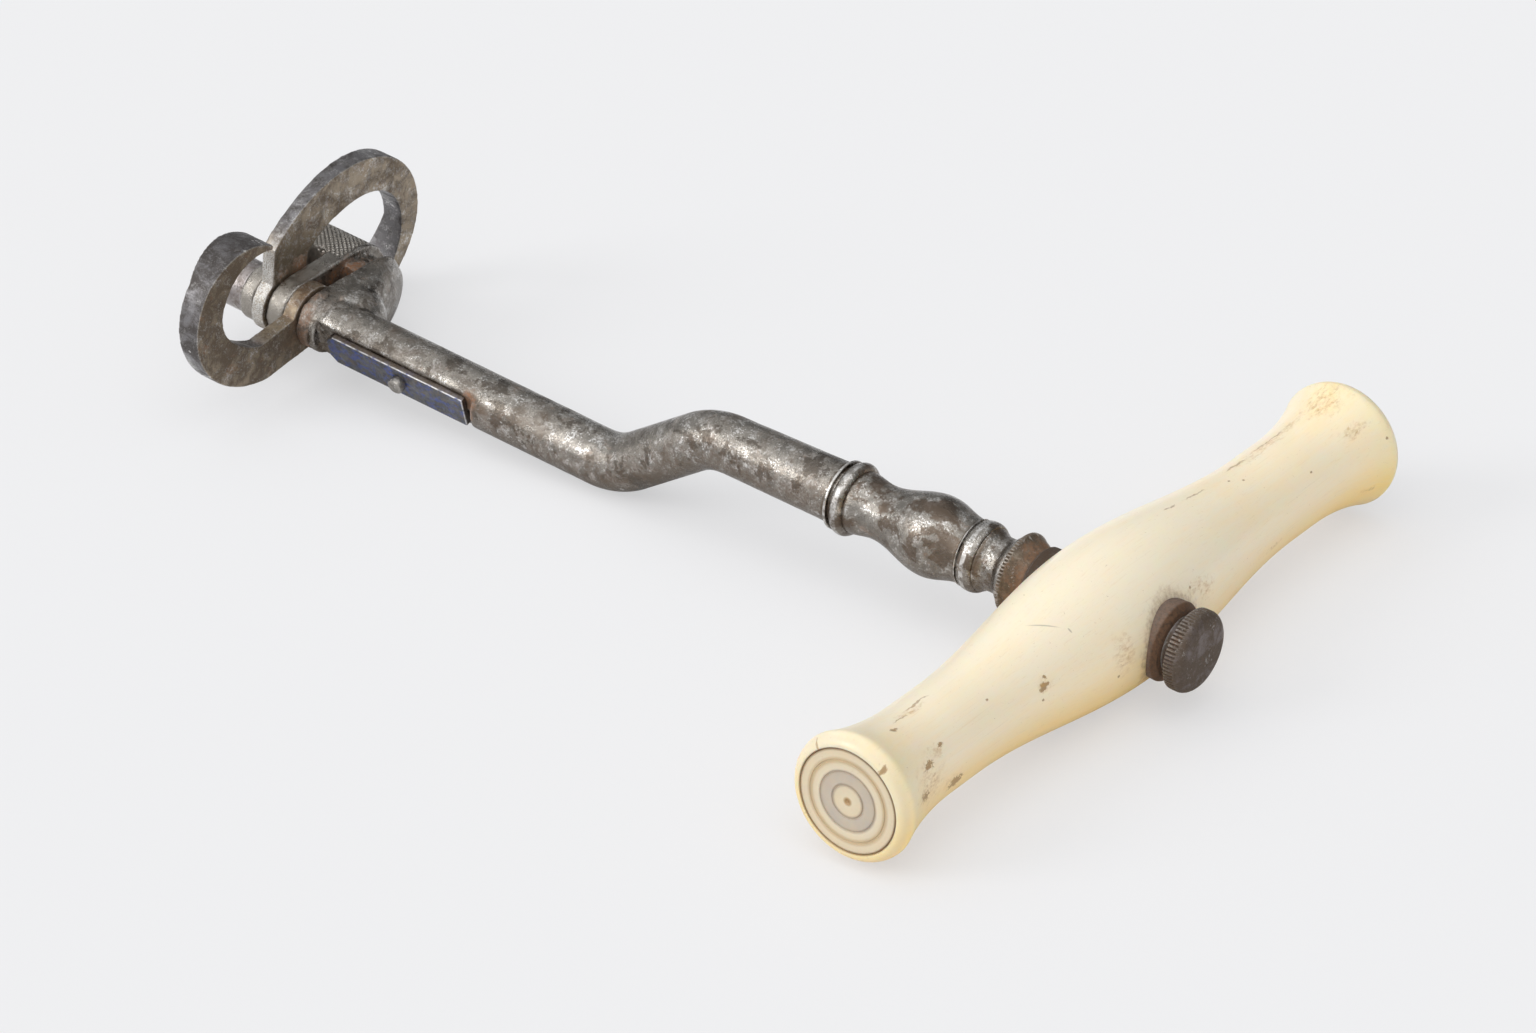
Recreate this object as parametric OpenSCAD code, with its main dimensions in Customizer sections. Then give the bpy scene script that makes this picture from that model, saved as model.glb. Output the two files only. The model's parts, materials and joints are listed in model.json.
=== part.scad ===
// Dental key with an ivory cross handle, a cranked steel shank, a fixed bolster
// and two swinging claws held by one pin. Sizes are in millimetres.
// It lies as on a table: the belly and the lowest of bend, bolster and claws touch z = 0.
// The handle runs along Y, the head points to -X, and +Z is up.
// Most skilled work: the claws, one swept hook that narrows to an edge while its flank widens.

/* [Handle] */

// Length of the cross handle, end to end
handle_l = 99.4; // [90:0.2:120]
// Radius of the belly in the middle, around the tang
belly_r = 8.75; // [8:0.05:10]
// Radius of the slim waist of each arm
waist_r = 5.85; // [5.4:0.05:7]
// Largest radius of the flared ends
flare_r = 7.8; // [7.7:0.05:8.4]
// Half length of the swelling in the middle
belly_half_l = 31.5; // [28:0.5:35]
// Length over which each end flares out
flare_l = 12; // [9:0.5:16]
// Rounding of the rim of each end, measured on the end face
rim_round = 1.2; // [0.5:0.1:1.3]
// Length over which that rim rounds off
rim_l = 1.7; // [0.8:0.1:2]
// Radius of the plug let into each end
plug_r = 6.4; // [5.6:0.05:6.5]
// Depth of the plug's seat
plug_seat = 3; // [2:0.1:5]
// Radius of the plug's spigot
spigot_r = 2.6; // [1.6:0.1:3.4]
// Length of the plug's spigot
spigot_l = 8; // [4:0.5:14]

/* [Handle fixing] */

// Radius of the tang that passes through the handle
tang_r = 2.4; // [1.8:0.05:2.8]
// Radius of the front ring at its milled rim
collar_r = 5; // [4.7:0.05:5.4]
// Width of the milled rim
milled_w = 0.6; // [0.4:0.05:1]
// Length by which the front ring stands out of the belly
collar_l = 3.45; // [3.1:0.05:4.2]
// Radius of the front ring's foot, next to the handle
foot_r = 4.4; // [4.1:0.05:4.6]
// Radius of the washer behind the handle, at its seat
washer_r = 4.6; // [4.2:0.05:5.2]
// Radius of the washer's outer face
washer_face_r = 4.1; // [3.8:0.05:4.2]
// Height by which the washer stands out of the belly
washer_h = 0.85; // [0.5:0.05:1.3]
// Radius of the thumb nut's rim
nut_r = 4.95; // [4.4:0.05:5.8]
// Width of the thumb nut's rim
nut_rim_w = 2.5; // [2:0.1:2.6]
// Length of the thumb nut
nut_l = 3.5; // [3.2:0.05:4.4]
// Number of notches milled round the nut
nut_notches = 36; // [24:1:48]
// Number of notches milled round the front ring
collar_notches = 32; // [24:1:44]
// Radius of the cutter that mills the notches
notch_r = 0.2; // [0.12:0.01:0.24]

/* [Shank] */

// Radius of the turned neck next to the front ring
neck_r = 3.35; // [3:0.05:3.6]
// Radius of the bead between neck and baluster
ring_r = 4.3; // [4.1:0.05:4.6]
// Largest radius of the baluster
baluster_r = 4.95; // [4.6:0.05:5.4]
// Smallest radius between the baluster and the bead
throat_r = 3.35; // [3.1:0.05:3.6]
// Radius of the bead that ends the turned part
bead_r = 4.5; // [4.3:0.05:5]
// Distance from the handle's axis to the bead's middle
bead_x = 35.4; // [34:0.1:38]
// Width of the bead
bead_w = 1.8; // [1.4:0.1:2.2]
// Radius of the round bar at the bead
bar_r = 3.75; // [3.6:0.05:4]
// Radius of the round bar in and after the bends
arm_r = 3.5; // [3.4:0.05:3.6]
// Distance from the handle's axis to the upper bend's corner
bend_x1 = 55.8; // [52:0.1:58]
// Distance from the handle's axis to the lower bend's corner
bend_x2 = 69.1; // [67:0.1:72]
// Drop of the bayonet bend
bend_drop = 9.7; // [8:0.1:11]
// Radius of the bar's centre line in the bends
bend_r = 9; // [7:0.5:10]
// Angle by which the arm rises again towards the head
arm_rise = 1.8; // [0:0.1:3]

/* [Head] */

// Distance from the lower corner to the near slot, along the arm
arm_l = 46.9; // [44:0.1:52]
// Length of the round root of the lug
lug_root_l = 2.7; // [2.2:0.1:3.4]
// Width of the near slot
near_slot = 2.2; // [2:0.05:2.6]
// Width of the block between the slots
mid_block = 2.55; // [2.3:0.05:3.2]
// Width of the far slot
far_slot = 2.2; // [2:0.05:2.6]
// Thickness of the far lug, beyond the far slot
far_lug = 2; // [1.6:0.1:3]
// Length of the bolster beyond the far slot
bolster_tail = 4.7; // [3.4:0.1:6]
// Radius of the blocks around the claw pin
block_r = 3.6; // [3.4:0.05:3.8]
// Distance from the pin to the bolster's middle
bolster_y = 10.8; // [10:0.1:11.6]
// Drop of the bolster's middle below the pin
bolster_drop = 1.6; // [1:0.1:2.2]
// Radius of the bolster
bolster_r = 5.6; // [5.2:0.05:5.8]
// Radius of the lug's outer end
lug_r = 5.15; // [4.6:0.05:5.3]
// Angle by which the lug thins towards its outer end
lug_slant = 14; // [8:0.5:18]
// Distance from the pin to the floor of the slots
slot_floor = 8; // [7.6:0.1:8.6]
// Radius of the claw pin
pin_r = 1.2; // [1:0.02:1.25]
// Length of the claw pin inside the arm
pin_reach = 16; // [8:0.5:20]
// Radius of the claw pin's knob
knob_r = 3.25; // [2.6:0.05:3.5]
// Length of the claw pin's knob
knob_l = 5.4; // [4:0.1:6.5]

/* [Claws] */

// Distance from the pin to the near claw's crown
near_reach = 23.9; // [22.5:0.1:25.5]
// Mean radius of the near claw's hook
near_hook_r = 7.8; // [7.2:0.1:8.2]
// Direction of the near claw's crown, up from -Y
near_angle = 30.5; // [20:0.5:40]
// Width of the near claw's limb where the hook starts
near_root_w = 5.6; // [5:0.1:6.2]
// Width of the near claw's limb at the crown
near_crown_w = 4.5; // [3.5:0.1:5]
// Distance from the pin to the far claw's crown
far_reach = 25.7; // [25:0.1:27.5]
// Mean radius of the far claw's hook
far_hook_r = 10.5; // [9.8:0.1:10.8]
// Direction of the far claw's crown, down from +Y
far_angle = -5.5; // [-10:0.5:4]
// Width of the far claw's limb where the hook starts
far_root_w = 7.2; // [6:0.1:7.5]
// Width of the far claw's limb at the crown
far_crown_w = 3.2; // [2.8:0.1:4]
// Radius of each claw's hub
hub_r = 4; // [3.8:0.05:4.2]
// Thickness of each claw at its hub
hub_t = 1.85; // [1.6:0.05:1.9]
// Angle at which a claw's flank leans out from its hub towards its crown
crown_lean = 3.4; // [2:0.1:4.6]
// Angle at which a claw's flank leans out from its hub towards its edge
flank_lean = 19.3; // [12:0.1:19.8]
// Width left at a claw's edge
edge_w = 0.5; // [0.3:0.05:0.8]

/* [Catch] */

// Distance from the lug to the catch spring's free end
spring_back = 1.8; // [1.2:0.1:3]
// Length of the catch spring
spring_l = 21.1; // [19:0.1:23]
// Width of the catch spring
spring_w = 4.5; // [4:0.05:4.6]
// Thickness of the catch spring
spring_t = 0.8; // [0.6:0.05:1]
// Depth of the spring's seat below the round of the arm
seat_depth = 1.3; // [1:0.05:1.4]
// Angle of the spring's face below -Y
spring_angle = 20; // [5:1:30]
// Distance from the fixed end to the stud
stud_x = 10; // [7:0.1:12]
// Radius of the stud's head
stud_r = 1.1; // [0.7:0.05:1.2]
// Height of the stud's head above the spring
stud_h = 1.2; // [0.8:0.1:1.6]

/* [Fits] */

// Radial clearance of a piece seated for good
seat_gap = 0.03; // [0.02:0.01:0.05]
// Radial clearance of a piece that turns or slides
turn_gap = 0.05; // [0.03:0.01:0.08]
// Gap on each side of a claw's hub and along the spring
side_gap = 0.15; // [0.1:0.01:0.2]

/* [Hidden] */

// Fine rounds
$fn = 96;
// Overlap that makes a cut run clear of a face
cut = 1;
// Length by which joined bars run into each other, and the step between their rounds
run_in = 0.3;
step = 0.02;
// Sizes that show less: broken edges, sunk seats, and the air at the end of a bore
break_edge = 0.2;
sunk = 0.2;
end_gap = 0.4;
// Steps of a turned outline, of half the handle's outline and of a hook's outline
turned_steps = 10;
handle_steps = 28;
hook_steps = 36;
// Power with which the handle's ends flare, and shares of the plug's radius where its face is scored
flare_power = 2.2;
scored_shares = [0.32, 0.57, 0.78];
score_r = 0.12;

// Handle fixing: seats in the handle, faces of washer, nut and front ring, and the nut's cap
washer_seat = sqrt(belly_r * belly_r - washer_r * washer_r) - sunk;
foot_h = 0.45;
collar_seat = sqrt(belly_r * belly_r - foot_r * foot_r) - sunk;
washer_face = belly_r + washer_h;
nut_face = washer_face + nut_l;
nut_cap = 1.2;
collar_front = belly_r + collar_l;

// Hooks: directions of crown, edge and length in a claw's own outline, and shares of its mean radius
crown_angle = 178;
edge_angle = 96;
long_angle = 186;
swell_share = 0.054;
root_share = 0.24;
near_root_angle = 316;
far_root_angle = 330;
// Directions in which a claw's flank leans out
crown_way_angle = 180;
edge_way_angle = 107;

// Bends: slope of the middle leg, turning angles and tangent lengths
leg_slope = atan(bend_drop / (bend_x2 - bend_x1));
turn1 = leg_slope;
turn2 = leg_slope + arm_rise;
tangent1 = bend_r * tan(turn1 / 2);
tangent2 = bend_r * tan(turn2 / 2);
leg_l = bend_drop / sin(leg_slope);

// Stations along the head, measured from the lower corner
lug_near = -(arm_l - lug_root_l);
slot1_x = -arm_l;
mid_x = slot1_x - near_slot;
slot2_x = mid_x - mid_block;
far_x = slot2_x - far_slot;
lug_end = far_x - far_lug;
bolster_end = far_x - bolster_tail;
knob_end = lug_end - knob_l;

// Outline of a claw with its hub on the origin and its crown near 180 degrees
function hook_points(reach, mean_r, root_w, crown_w, first) = let (
  centre = reach - mean_r * (1 + swell_share) - crown_w / 2,
  // Share of the way from crown to root, then from crown to edge
  root_u = function(a) max(0, (a - crown_angle) / (first - crown_angle)),
  edge_u = function(a) max(0, (crown_angle - a) / (crown_angle - edge_angle)),
  width = function(a) a > crown_angle
    ? crown_w + (root_w - crown_w) * pow(root_u(a), 1.1)
    : edge_w + (crown_w - edge_w) * pow(1 - edge_u(a), 1.12),
  mean = function(a)
    mean_r * (1 + swell_share * cos(2 * (a - long_angle)) + root_share * pow(root_u(a), 4)),
  at = function(a, side) let (r = mean(a) + side * width(a) / 2) [r * cos(a) - centre, r * sin(a)],
  angles = [for (i = [0 : hook_steps]) first + (edge_angle - first) * i / hook_steps])
  concat([[hub_r * cos(300), hub_r * sin(300)]],
    [for (a = angles) at(a, 1)],
    [for (i = [hook_steps : -1 : 0]) at(angles[i], -1)],
    [[hub_r * cos(192), hub_r * sin(192)], [0, 0]]);

near_points = hook_points(near_reach, near_hook_r, near_root_w, near_crown_w, near_root_angle);
far_points = hook_points(far_reach, far_hook_r, far_root_w, far_crown_w, far_root_angle);
near_turn = -near_angle;
far_turn = 180 - far_angle;

// Tilt at which the belly and a bar's outer bend touch the table together
corner_up = 90 + leg_slope / 2 - arm_rise / 2;
arc_x = -bend_x2 + bend_r / cos(turn2 / 2) * cos(corner_up);
arc_z = -bend_drop + bend_r / cos(turn2 / 2) * sin(corner_up);
bend_tilt = asin((bend_r + arm_r - belly_r) / norm([arc_x, arc_z])) - atan2(arc_z, -arc_x);

// Tilt at which a point of the head, given by its station and height on the arm, touches the table too
function point_tilt(x, z) = let (
  from_x = -bend_x2 + x * cos(arm_rise) + z * sin(arm_rise),
  from_z = -bend_drop - x * sin(arm_rise) + z * cos(arm_rise))
  asin(-belly_r / norm([from_x, from_z])) - atan2(from_z, -from_x);
function claw_tilt(x, turn, points) =
  max([for (p = points) point_tilt(x - side_gap, p.x * sin(turn) + p.y * cos(turn))]);
rest_tilt = max(bend_tilt, point_tilt(mid_x, -bolster_drop - bolster_r),
                claw_tilt(slot1_x, near_turn, near_points), claw_tilt(slot2_x, far_turn, far_points));

// Middle of the box around the whole key, so that it can sit on the origin
tilt_all = rest_tilt + arm_rise;
corner_rx = -bend_x2 * cos(rest_tilt) - bend_drop * sin(rest_tilt);
low_x = corner_rx + knob_end * cos(tilt_all) - knob_r * sin(tilt_all);
high_x = nut_face * cos(rest_tilt) + nut_r * sin(rest_tilt);
mid_box_x = (low_x + high_x) / 2;

// Catch spring: its seat's distance from the arm's axis and spare length, and its fixed end
seat_d = arm_r - seat_depth;
spring_end_gap = 1.2;
stud_neck_r = 0.55 * stud_r;
spring_x = -lug_near - spring_back - spring_l;

steel = [0.55, 0.53, 0.50];
ivory = [0.93, 0.87, 0.72];
blued = [0.16, 0.20, 0.34];
rust = [0.33, 0.24, 0.19];

// Puts the handle's frame into the resting frame
module rest() {
  translate([-mid_box_x, 0, belly_r]) rotate([0, rest_tilt, 0]) children();
}

// Puts the arm's frame, with its origin at the lower corner, into the resting frame
module on_arm() {
  rest() translate([-bend_x2, 0, -bend_drop]) rotate([0, arm_rise, 0]) children();
}

// Lays a shape turned about Z along -X, from the given station
module along(x) {
  translate([x, 0, 0]) rotate([0, -90, 0]) children();
}

function swell(u) = 0.5 + 0.5 * cos(180 * min(1, abs(u)));
function handle_r(y) = waist_r + (belly_r - waist_r) * swell(y / belly_half_l)
  + (flare_r - waist_r) * pow(max(0, (abs(y) - handle_l / 2 + flare_l + rim_l) / flare_l), flare_power);

// Cutters that mill notches round a rim, from one height to another
module ring_of(count, r, low, high) {
  for (i = [0 : count - 1])
    rotate(i * 360 / count) translate([r, 0, low]) cylinder(r = notch_r, h = high - low, $fn = 16);
}

/* Handle: turned, hollowed for the plugs and bored for the tang */

module handle() {
  half = handle_l / 2;
  shoulder = half - rim_l;
  side = [for (i = [-handle_steps : handle_steps]) let (y = shoulder * i / handle_steps) [handle_r(y), y]];
  function corner(s, a) = [flare_r - rim_round + rim_round * cos(a),
                           s * (shoulder + rim_l * sin(a))];
  color(ivory) rest() difference() {
    rotate([90, 0, 0]) rotate_extrude() polygon(concat(
      [[0, -half]], [for (a = [90 : -22.5 : 22.5]) corner(-1, a)],
      side, [for (a = [22.5 : 22.5 : 90]) corner(1, a)], [[0, half]]));
    for (s = [-1, 1]) rotate([s * 90, 0, 0]) {
      translate([0, 0, half - plug_seat]) cylinder(r = plug_r, h = plug_seat + cut);
      translate([0, 0, half - plug_seat - spigot_l - cut]) cylinder(r = spigot_r, h = spigot_l + 2 * cut);
    }
    rotate([0, 90, 0]) cylinder(r = tang_r + seat_gap, h = 4 * belly_r, center = true);
    along(washer_seat) mirror([0, 0, 1]) cylinder(r = washer_r + seat_gap, h = belly_r);
    along(-collar_seat) cylinder(r = foot_r + seat_gap, h = belly_r);
  }
}

module end_plug(side) {
  half = handle_l / 2;
  color(ivory) rest() rotate([side * 90, 0, 0]) difference() {
    union() {
      translate([0, 0, half - plug_seat]) cylinder(r = plug_r - seat_gap, h = plug_seat);
      translate([0, 0, half - plug_seat - spigot_l]) cylinder(r = spigot_r - seat_gap, h = spigot_l + cut);
    }
    for (share = scored_shares) translate([0, 0, half]) rotate_extrude()
      translate([share * plug_r, 0]) circle(r = score_r, $fn = 12);
  }
}

module end_plug_near() { end_plug(1); }

module end_plug_far() { end_plug(-1); }

/* Handle fixing: washer, thumb nut and front ring on the tang */

module seat_washer() {
  color(rust) rest() rotate([0, 90, 0]) difference() {
    union() {
      translate([0, 0, washer_seat]) cylinder(r = washer_r, h = belly_r - washer_seat);
      translate([0, 0, belly_r]) cylinder(r1 = washer_r, r2 = washer_face_r, h = washer_face - belly_r);
    }
    cylinder(r = tang_r + turn_gap, h = 3 * belly_r);
  }
}

module thumb_nut() {
  rim_back = nut_face - nut_rim_w;
  chamfer = 0.45;
  neck = 0.7 * nut_r;
  color(rust) rest() rotate([0, 90, 0]) difference() {
    rotate_extrude() polygon([
      [tang_r + turn_gap, washer_face], [neck, washer_face], [neck, rim_back],
      [nut_r - chamfer, rim_back], [nut_r, rim_back + chamfer], [nut_r, nut_face - 2 * chamfer],
      [nut_r - 2 * chamfer, nut_face - 0.3 * chamfer], [0.6 * nut_r, nut_face], [0, nut_face],
      [0, nut_face - nut_cap], [tang_r + turn_gap, nut_face - nut_cap]]);
    ring_of(nut_notches, nut_r, rim_back - cut, nut_face + cut);
  }
}

module front_collar() {
  rim_back = collar_front - milled_w;
  dish_r = foot_r - break_edge;
  edge = break_edge / 2;
  color(steel) rest() rotate([0, -90, 0]) difference() {
    rotate_extrude() polygon([
      [tang_r + turn_gap, collar_seat], [foot_r, collar_seat], [foot_r, belly_r + foot_h],
      [dish_r, belly_r + foot_h + edge], [collar_r - edge, rim_back], [collar_r, rim_back + edge],
      [collar_r, collar_front - edge], [collar_r - edge, collar_front], [tang_r + turn_gap, collar_front]]);
    ring_of(collar_notches, collar_r, rim_back - edge, collar_front + cut);
  }
}

/* Shank: one forging from the tang to the lug, with the turned baluster and the bends */

function glide(a, b, u) = a + (b - a) * (0.5 - 0.5 * cos(180 * u));

// Turned part from the flare at the front ring to the disc at the bar, placed by shares of its length
module turned_part() {
  bead_at = bead_x - bead_w / 2;
  bead_end = bead_x + bead_w / 2;
  turned_l = bead_at - collar_front;
  function share(u) = collar_front + u * turned_l;
  flare_at = share(0.011);
  neck_at = share(0.08);
  neck_end = share(0.13);
  ring_at = share(0.228);
  ring_w = 0.094 * turned_l;
  line_at = ring_at + ring_w / 2;
  line_w = 0.3;
  belly_at = share(0.515);
  throat_at = share(0.855);
  flared_r = neck_r + 1.1;
  ring_step = 0.45;
  ring_foot = ring_r - ring_step;
  rise_steps = 4;
  line_r = ring_r - break_edge;
  line_end = line_at + line_w + break_edge / 2;
  disc_at = bead_end + 0.3;
  disc_end = disc_at + 0.4;
  disc_r = bead_r - 0.25;
  along(0) rotate_extrude() polygon(concat(
    [[0, collar_front], [flared_r, collar_front], [flared_r, flare_at]],
    [for (i = [1 : rise_steps]) let (u = i / rise_steps)
      [glide(flared_r - break_edge, neck_r, u), flare_at + (neck_at - flare_at) * u]],
    [for (i = [0 : rise_steps]) let (u = i / rise_steps)
      [glide(neck_r, ring_foot, u), neck_end + (ring_at - ring_w / 2 - neck_end) * u]],
    [for (a = [-67.5 : 22.5 : 67.5]) [ring_foot + ring_step * cos(a), ring_at + ring_w / 2 * sin(a)]],
    [[ring_foot, line_at], [line_r, line_at + break_edge / 2], [line_r, line_at + line_w]],
    [for (i = [0 : turned_steps]) let (u = i / turned_steps)
      [glide(ring_foot + break_edge / 2, baluster_r, u), line_end + (belly_at - line_end) * u]],
    [for (i = [1 : turned_steps]) let (u = i / turned_steps)
      [glide(baluster_r, throat_r, u), belly_at + (throat_at - belly_at) * u]],
    [for (i = [1 : rise_steps]) let (u = i / rise_steps)
      [glide(throat_r, throat_r + ring_step, u), throat_at + (bead_at - throat_at) * u]],
    [for (a = [-67.5 : 22.5 : 67.5])
      [bead_r - bead_w / 2 + bead_w / 2 * cos(a), bead_x + bead_w / 2 * sin(a)]],
    [[bar_r + break_edge / 2, bead_end], [bar_r + break_edge / 2, disc_at], [disc_r, disc_at],
     [disc_r, disc_end], [bar_r, disc_end], [bar_r, disc_end + cut], [0, disc_end + cut]]));
}

// Bend of the bar that starts at the origin along -X and turns about Y, up or down
module bend(angle, up) {
  translate([0, 0, up * bend_r]) rotate([90, 0, 0]) rotate(up > 0 ? -90 - angle : 90)
    rotate_extrude(angle = angle) translate([bend_r, 0]) circle(r = arm_r + step);
}

module shank() {
  start = bead_x + bead_w / 2;
  color(steel) difference() {
    union() {
      rest() {
        rotate([0, 90, 0]) translate([0, 0, -collar_front - cut])
          cylinder(r = tang_r, h = collar_front + cut + nut_face - nut_cap - end_gap);
        turned_part();
        along(-start) cylinder(r1 = bar_r, r2 = arm_r, h = bend_x1 - tangent1 - start + run_in);
        translate([-bend_x1 + tangent1, 0, 0]) bend(turn1, -1);
        translate([-bend_x1, 0, 0]) rotate([0, -turn1, 0]) along(-tangent1 + run_in)
          cylinder(r = arm_r, h = leg_l - tangent1 - tangent2 + 2 * run_in);
      }
      on_arm() {
        rotate([0, -turn2, 0]) translate([tangent2, 0, 0]) bend(turn2, 1);
        along(-tangent2 + run_in) cylinder(r = arm_r, h = -lug_near - tangent2 + run_in);
      }
    }
    on_arm() {
      along(lug_near + pin_reach) cylinder(r = pin_r + turn_gap, h = pin_reach + cut);
      rotate([spring_angle, 0, 0]) {
        translate([lug_near - cut, -arm_r - cut, -arm_r])
          cube([-lug_near - spring_x + cut + spring_end_gap, cut + seat_depth, 2 * arm_r]);
        translate([-spring_x - stud_x, 0, 0]) rotate([90, 0, 0])
          cylinder(r = stud_neck_r + 0.25 * stud_r, h = arm_r);
      }
    }
  }
}

/* Head: bolster with its lug and blocks, slotted for the claws */

module head_section(r_out) {
  reach = norm([bolster_y, bolster_drop]);
  lean = atan2(bolster_drop, bolster_y);
  spread = asin((r_out - block_r) / reach);
  circle(r = block_r);
  rotate(-lean) {
    translate([reach, 0]) circle(r = r_out);
    polygon([
      [-block_r * sin(spread), block_r * cos(spread)],
      [reach - r_out * sin(spread), r_out * cos(spread)],
      [reach - r_out * sin(spread), -r_out * cos(spread)],
      [-block_r * sin(spread), -block_r * cos(spread)]]);
  }
}

// Extrudes a section drawn in Y and Z from station a down to station b
module slab(a, b) {
  translate([b, 0, 0]) rotate([90, 0, 90]) linear_extrude(a - b) children();
}

module bolster() {
  web_r = lug_r - 0.9;
  gusset_x = lug_near + 2.3;
  slant_x = lug_near + 1.6;
  gusset_y = 1.5;
  color(steel) on_arm() difference() {
    union() {
      slab(lug_near, slot1_x) circle(r = block_r);
      difference() {
        slab(gusset_x, slot1_x) head_section(lug_r);
        translate([slant_x, 0, -3 * lug_r]) rotate(lug_slant)
          translate([0, -4 * lug_r, 0]) cube([8 * lug_r, 8 * lug_r, 6 * lug_r]);
        slab(gusset_x + cut, lug_near) translate([-bolster_y, -bolster_y])
          square([bolster_y + gusset_y, 2 * bolster_y]);
        along(0) cylinder(r = arm_r + seat_gap, h = -lug_near);
      }
      slab(slot1_x, mid_x) intersection() {
        head_section(web_r);
        translate([slot_floor, -bolster_y]) square(2 * bolster_y);
      }
      slab(mid_x, lug_end) head_section(bolster_r);
      slab(mid_x - cut, bolster_end) translate([bolster_y, -bolster_drop]) circle(r = bolster_r - step);
    }
    slab(slot2_x, far_x) translate([-2 * bolster_y, -bolster_y])
      square([2 * bolster_y + slot_floor, 2 * bolster_y]);
    along(0) cylinder(r = pin_r + turn_gap, h = -lug_end + cut);
  }
}

/* Claws: one hook design in two sizes */

module hook(points) {
  circle(r = hub_r);
  polygon(points);
}

// Half space above x = 0 that leans out beyond the hub in one direction
module leaning(direction, lean, wide) {
  rotate([direction, 0, 0]) translate([0, hub_r, 0]) rotate([0, 0, lean])
    translate([0, -wide, -wide]) cube([wide, 2 * wide, 2 * wide]);
}

// A claw in its slot: its near face is flat and its far flank leans out to the crown and the edge
module claw(x, turn, reach, points) {
  near = x - side_gap;
  wide = 2 * reach;
  color(steel) on_arm() difference() {
    union() {
      slab(near, near - hub_t) rotate(turn) hook(points);
      rotate([turn, 0, 0]) intersection() {
        slab(near, near - 4 * hub_t) hook(points);
        translate([near - hub_t, 0, 0]) union() {
          leaning(crown_way_angle, crown_lean, wide);
          leaning(edge_way_angle, flank_lean, wide);
        }
      }
    }
    along(0) cylinder(r = pin_r + turn_gap, h = -lug_end + cut);
  }
}

module near_claw() {
  claw(slot1_x, near_turn, near_reach, near_points);
}

module far_claw() {
  claw(slot2_x, far_turn, far_reach, far_points);
}

module claw_pin() {
  start = lug_near + pin_reach - cut;
  chamfer = 2 * break_edge;
  color(rust) on_arm() {
    along(start) cylinder(r = pin_r, h = start - lug_end + cut);
    along(0) rotate_extrude() polygon([[0, -lug_end], [knob_r, -lug_end], [knob_r, -knob_end - chamfer],
      [knob_r - chamfer, -knob_end], [0, -knob_end]]);
  }
}

/* Catch: leaf spring let into the arm, with a stud to lift it by */

module catch_spring() {
  corner = 1.4;
  color(blued) on_arm() rotate([spring_angle, 0, 0]) difference() {
    translate([-spring_x - spring_l, -seat_d - spring_t, -spring_w / 2])
      cube([spring_l, spring_t, spring_w]);
    translate([-spring_x - stud_x, 0, 0]) rotate([90, 0, 0]) cylinder(r = stud_neck_r, h = 2 * arm_r);
    for (s = [-1, 1]) translate([-spring_x - spring_l, 0, s * spring_w / 2]) rotate([0, 45, 0])
      cube([corner, 4 * arm_r, corner], center = true);
  }
}

module catch_stud() {
  color(steel) on_arm() rotate([spring_angle, 0, 0]) translate([-spring_x - stud_x, 0, 0])
    rotate([90, 0, 0]) {
      translate([0, 0, seat_d - break_edge])
        cylinder(r = stud_neck_r - seat_gap, h = spring_t + 2 * break_edge);
      translate([0, 0, seat_d + spring_t]) cylinder(r = stud_r, h = stud_h);
    }
}

handle();
end_plug_near();
end_plug_far();
seat_washer();
thumb_nut();
front_collar();
shank();
bolster();
near_claw();
far_claw();
claw_pin();
catch_spring();
catch_stud();
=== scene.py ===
"""Looks of a dental key: ivory cross handle, cranked steel shank, bolster and two swinging claws.

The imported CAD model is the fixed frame. Each operator below dresses one piece, or one group of like
pieces, and the panel in the 3D view's sidebar lists them in the order in which main() calls them.
"""

import json
import math

import bpy
from bpy.props import FloatProperty, FloatVectorProperty, IntProperty, PointerProperty
from bpy.types import Operator, Panel, PropertyGroup
from mathutils import Matrix, Vector

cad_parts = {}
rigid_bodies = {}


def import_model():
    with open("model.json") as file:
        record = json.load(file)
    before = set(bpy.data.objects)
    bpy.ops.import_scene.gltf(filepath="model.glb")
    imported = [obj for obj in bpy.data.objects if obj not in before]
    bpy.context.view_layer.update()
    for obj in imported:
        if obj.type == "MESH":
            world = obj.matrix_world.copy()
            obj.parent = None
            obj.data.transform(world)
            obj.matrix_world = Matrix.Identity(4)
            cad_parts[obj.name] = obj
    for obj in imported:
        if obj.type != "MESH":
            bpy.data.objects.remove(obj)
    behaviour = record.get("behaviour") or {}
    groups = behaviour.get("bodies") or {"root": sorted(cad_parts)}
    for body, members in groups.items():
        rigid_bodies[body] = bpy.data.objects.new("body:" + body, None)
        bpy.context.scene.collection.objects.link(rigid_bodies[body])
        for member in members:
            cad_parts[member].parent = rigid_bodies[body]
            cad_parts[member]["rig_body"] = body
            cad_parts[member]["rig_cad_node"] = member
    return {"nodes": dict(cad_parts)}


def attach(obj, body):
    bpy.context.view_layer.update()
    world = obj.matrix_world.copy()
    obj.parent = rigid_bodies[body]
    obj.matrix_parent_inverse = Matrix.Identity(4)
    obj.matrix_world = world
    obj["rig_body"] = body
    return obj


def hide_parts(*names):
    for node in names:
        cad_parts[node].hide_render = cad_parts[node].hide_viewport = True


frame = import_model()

bl_info = {
    "name": "Dental key",
    "version": (1, 0, 0),
    "blender": (4, 5, 0),
    "location": "3D View > Sidebar > Dental key",
    "description": "Dresses a dental key with an ivory handle, a patinated steel shank and two claws",
    "category": "Object",
}

MM = 0.001


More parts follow.
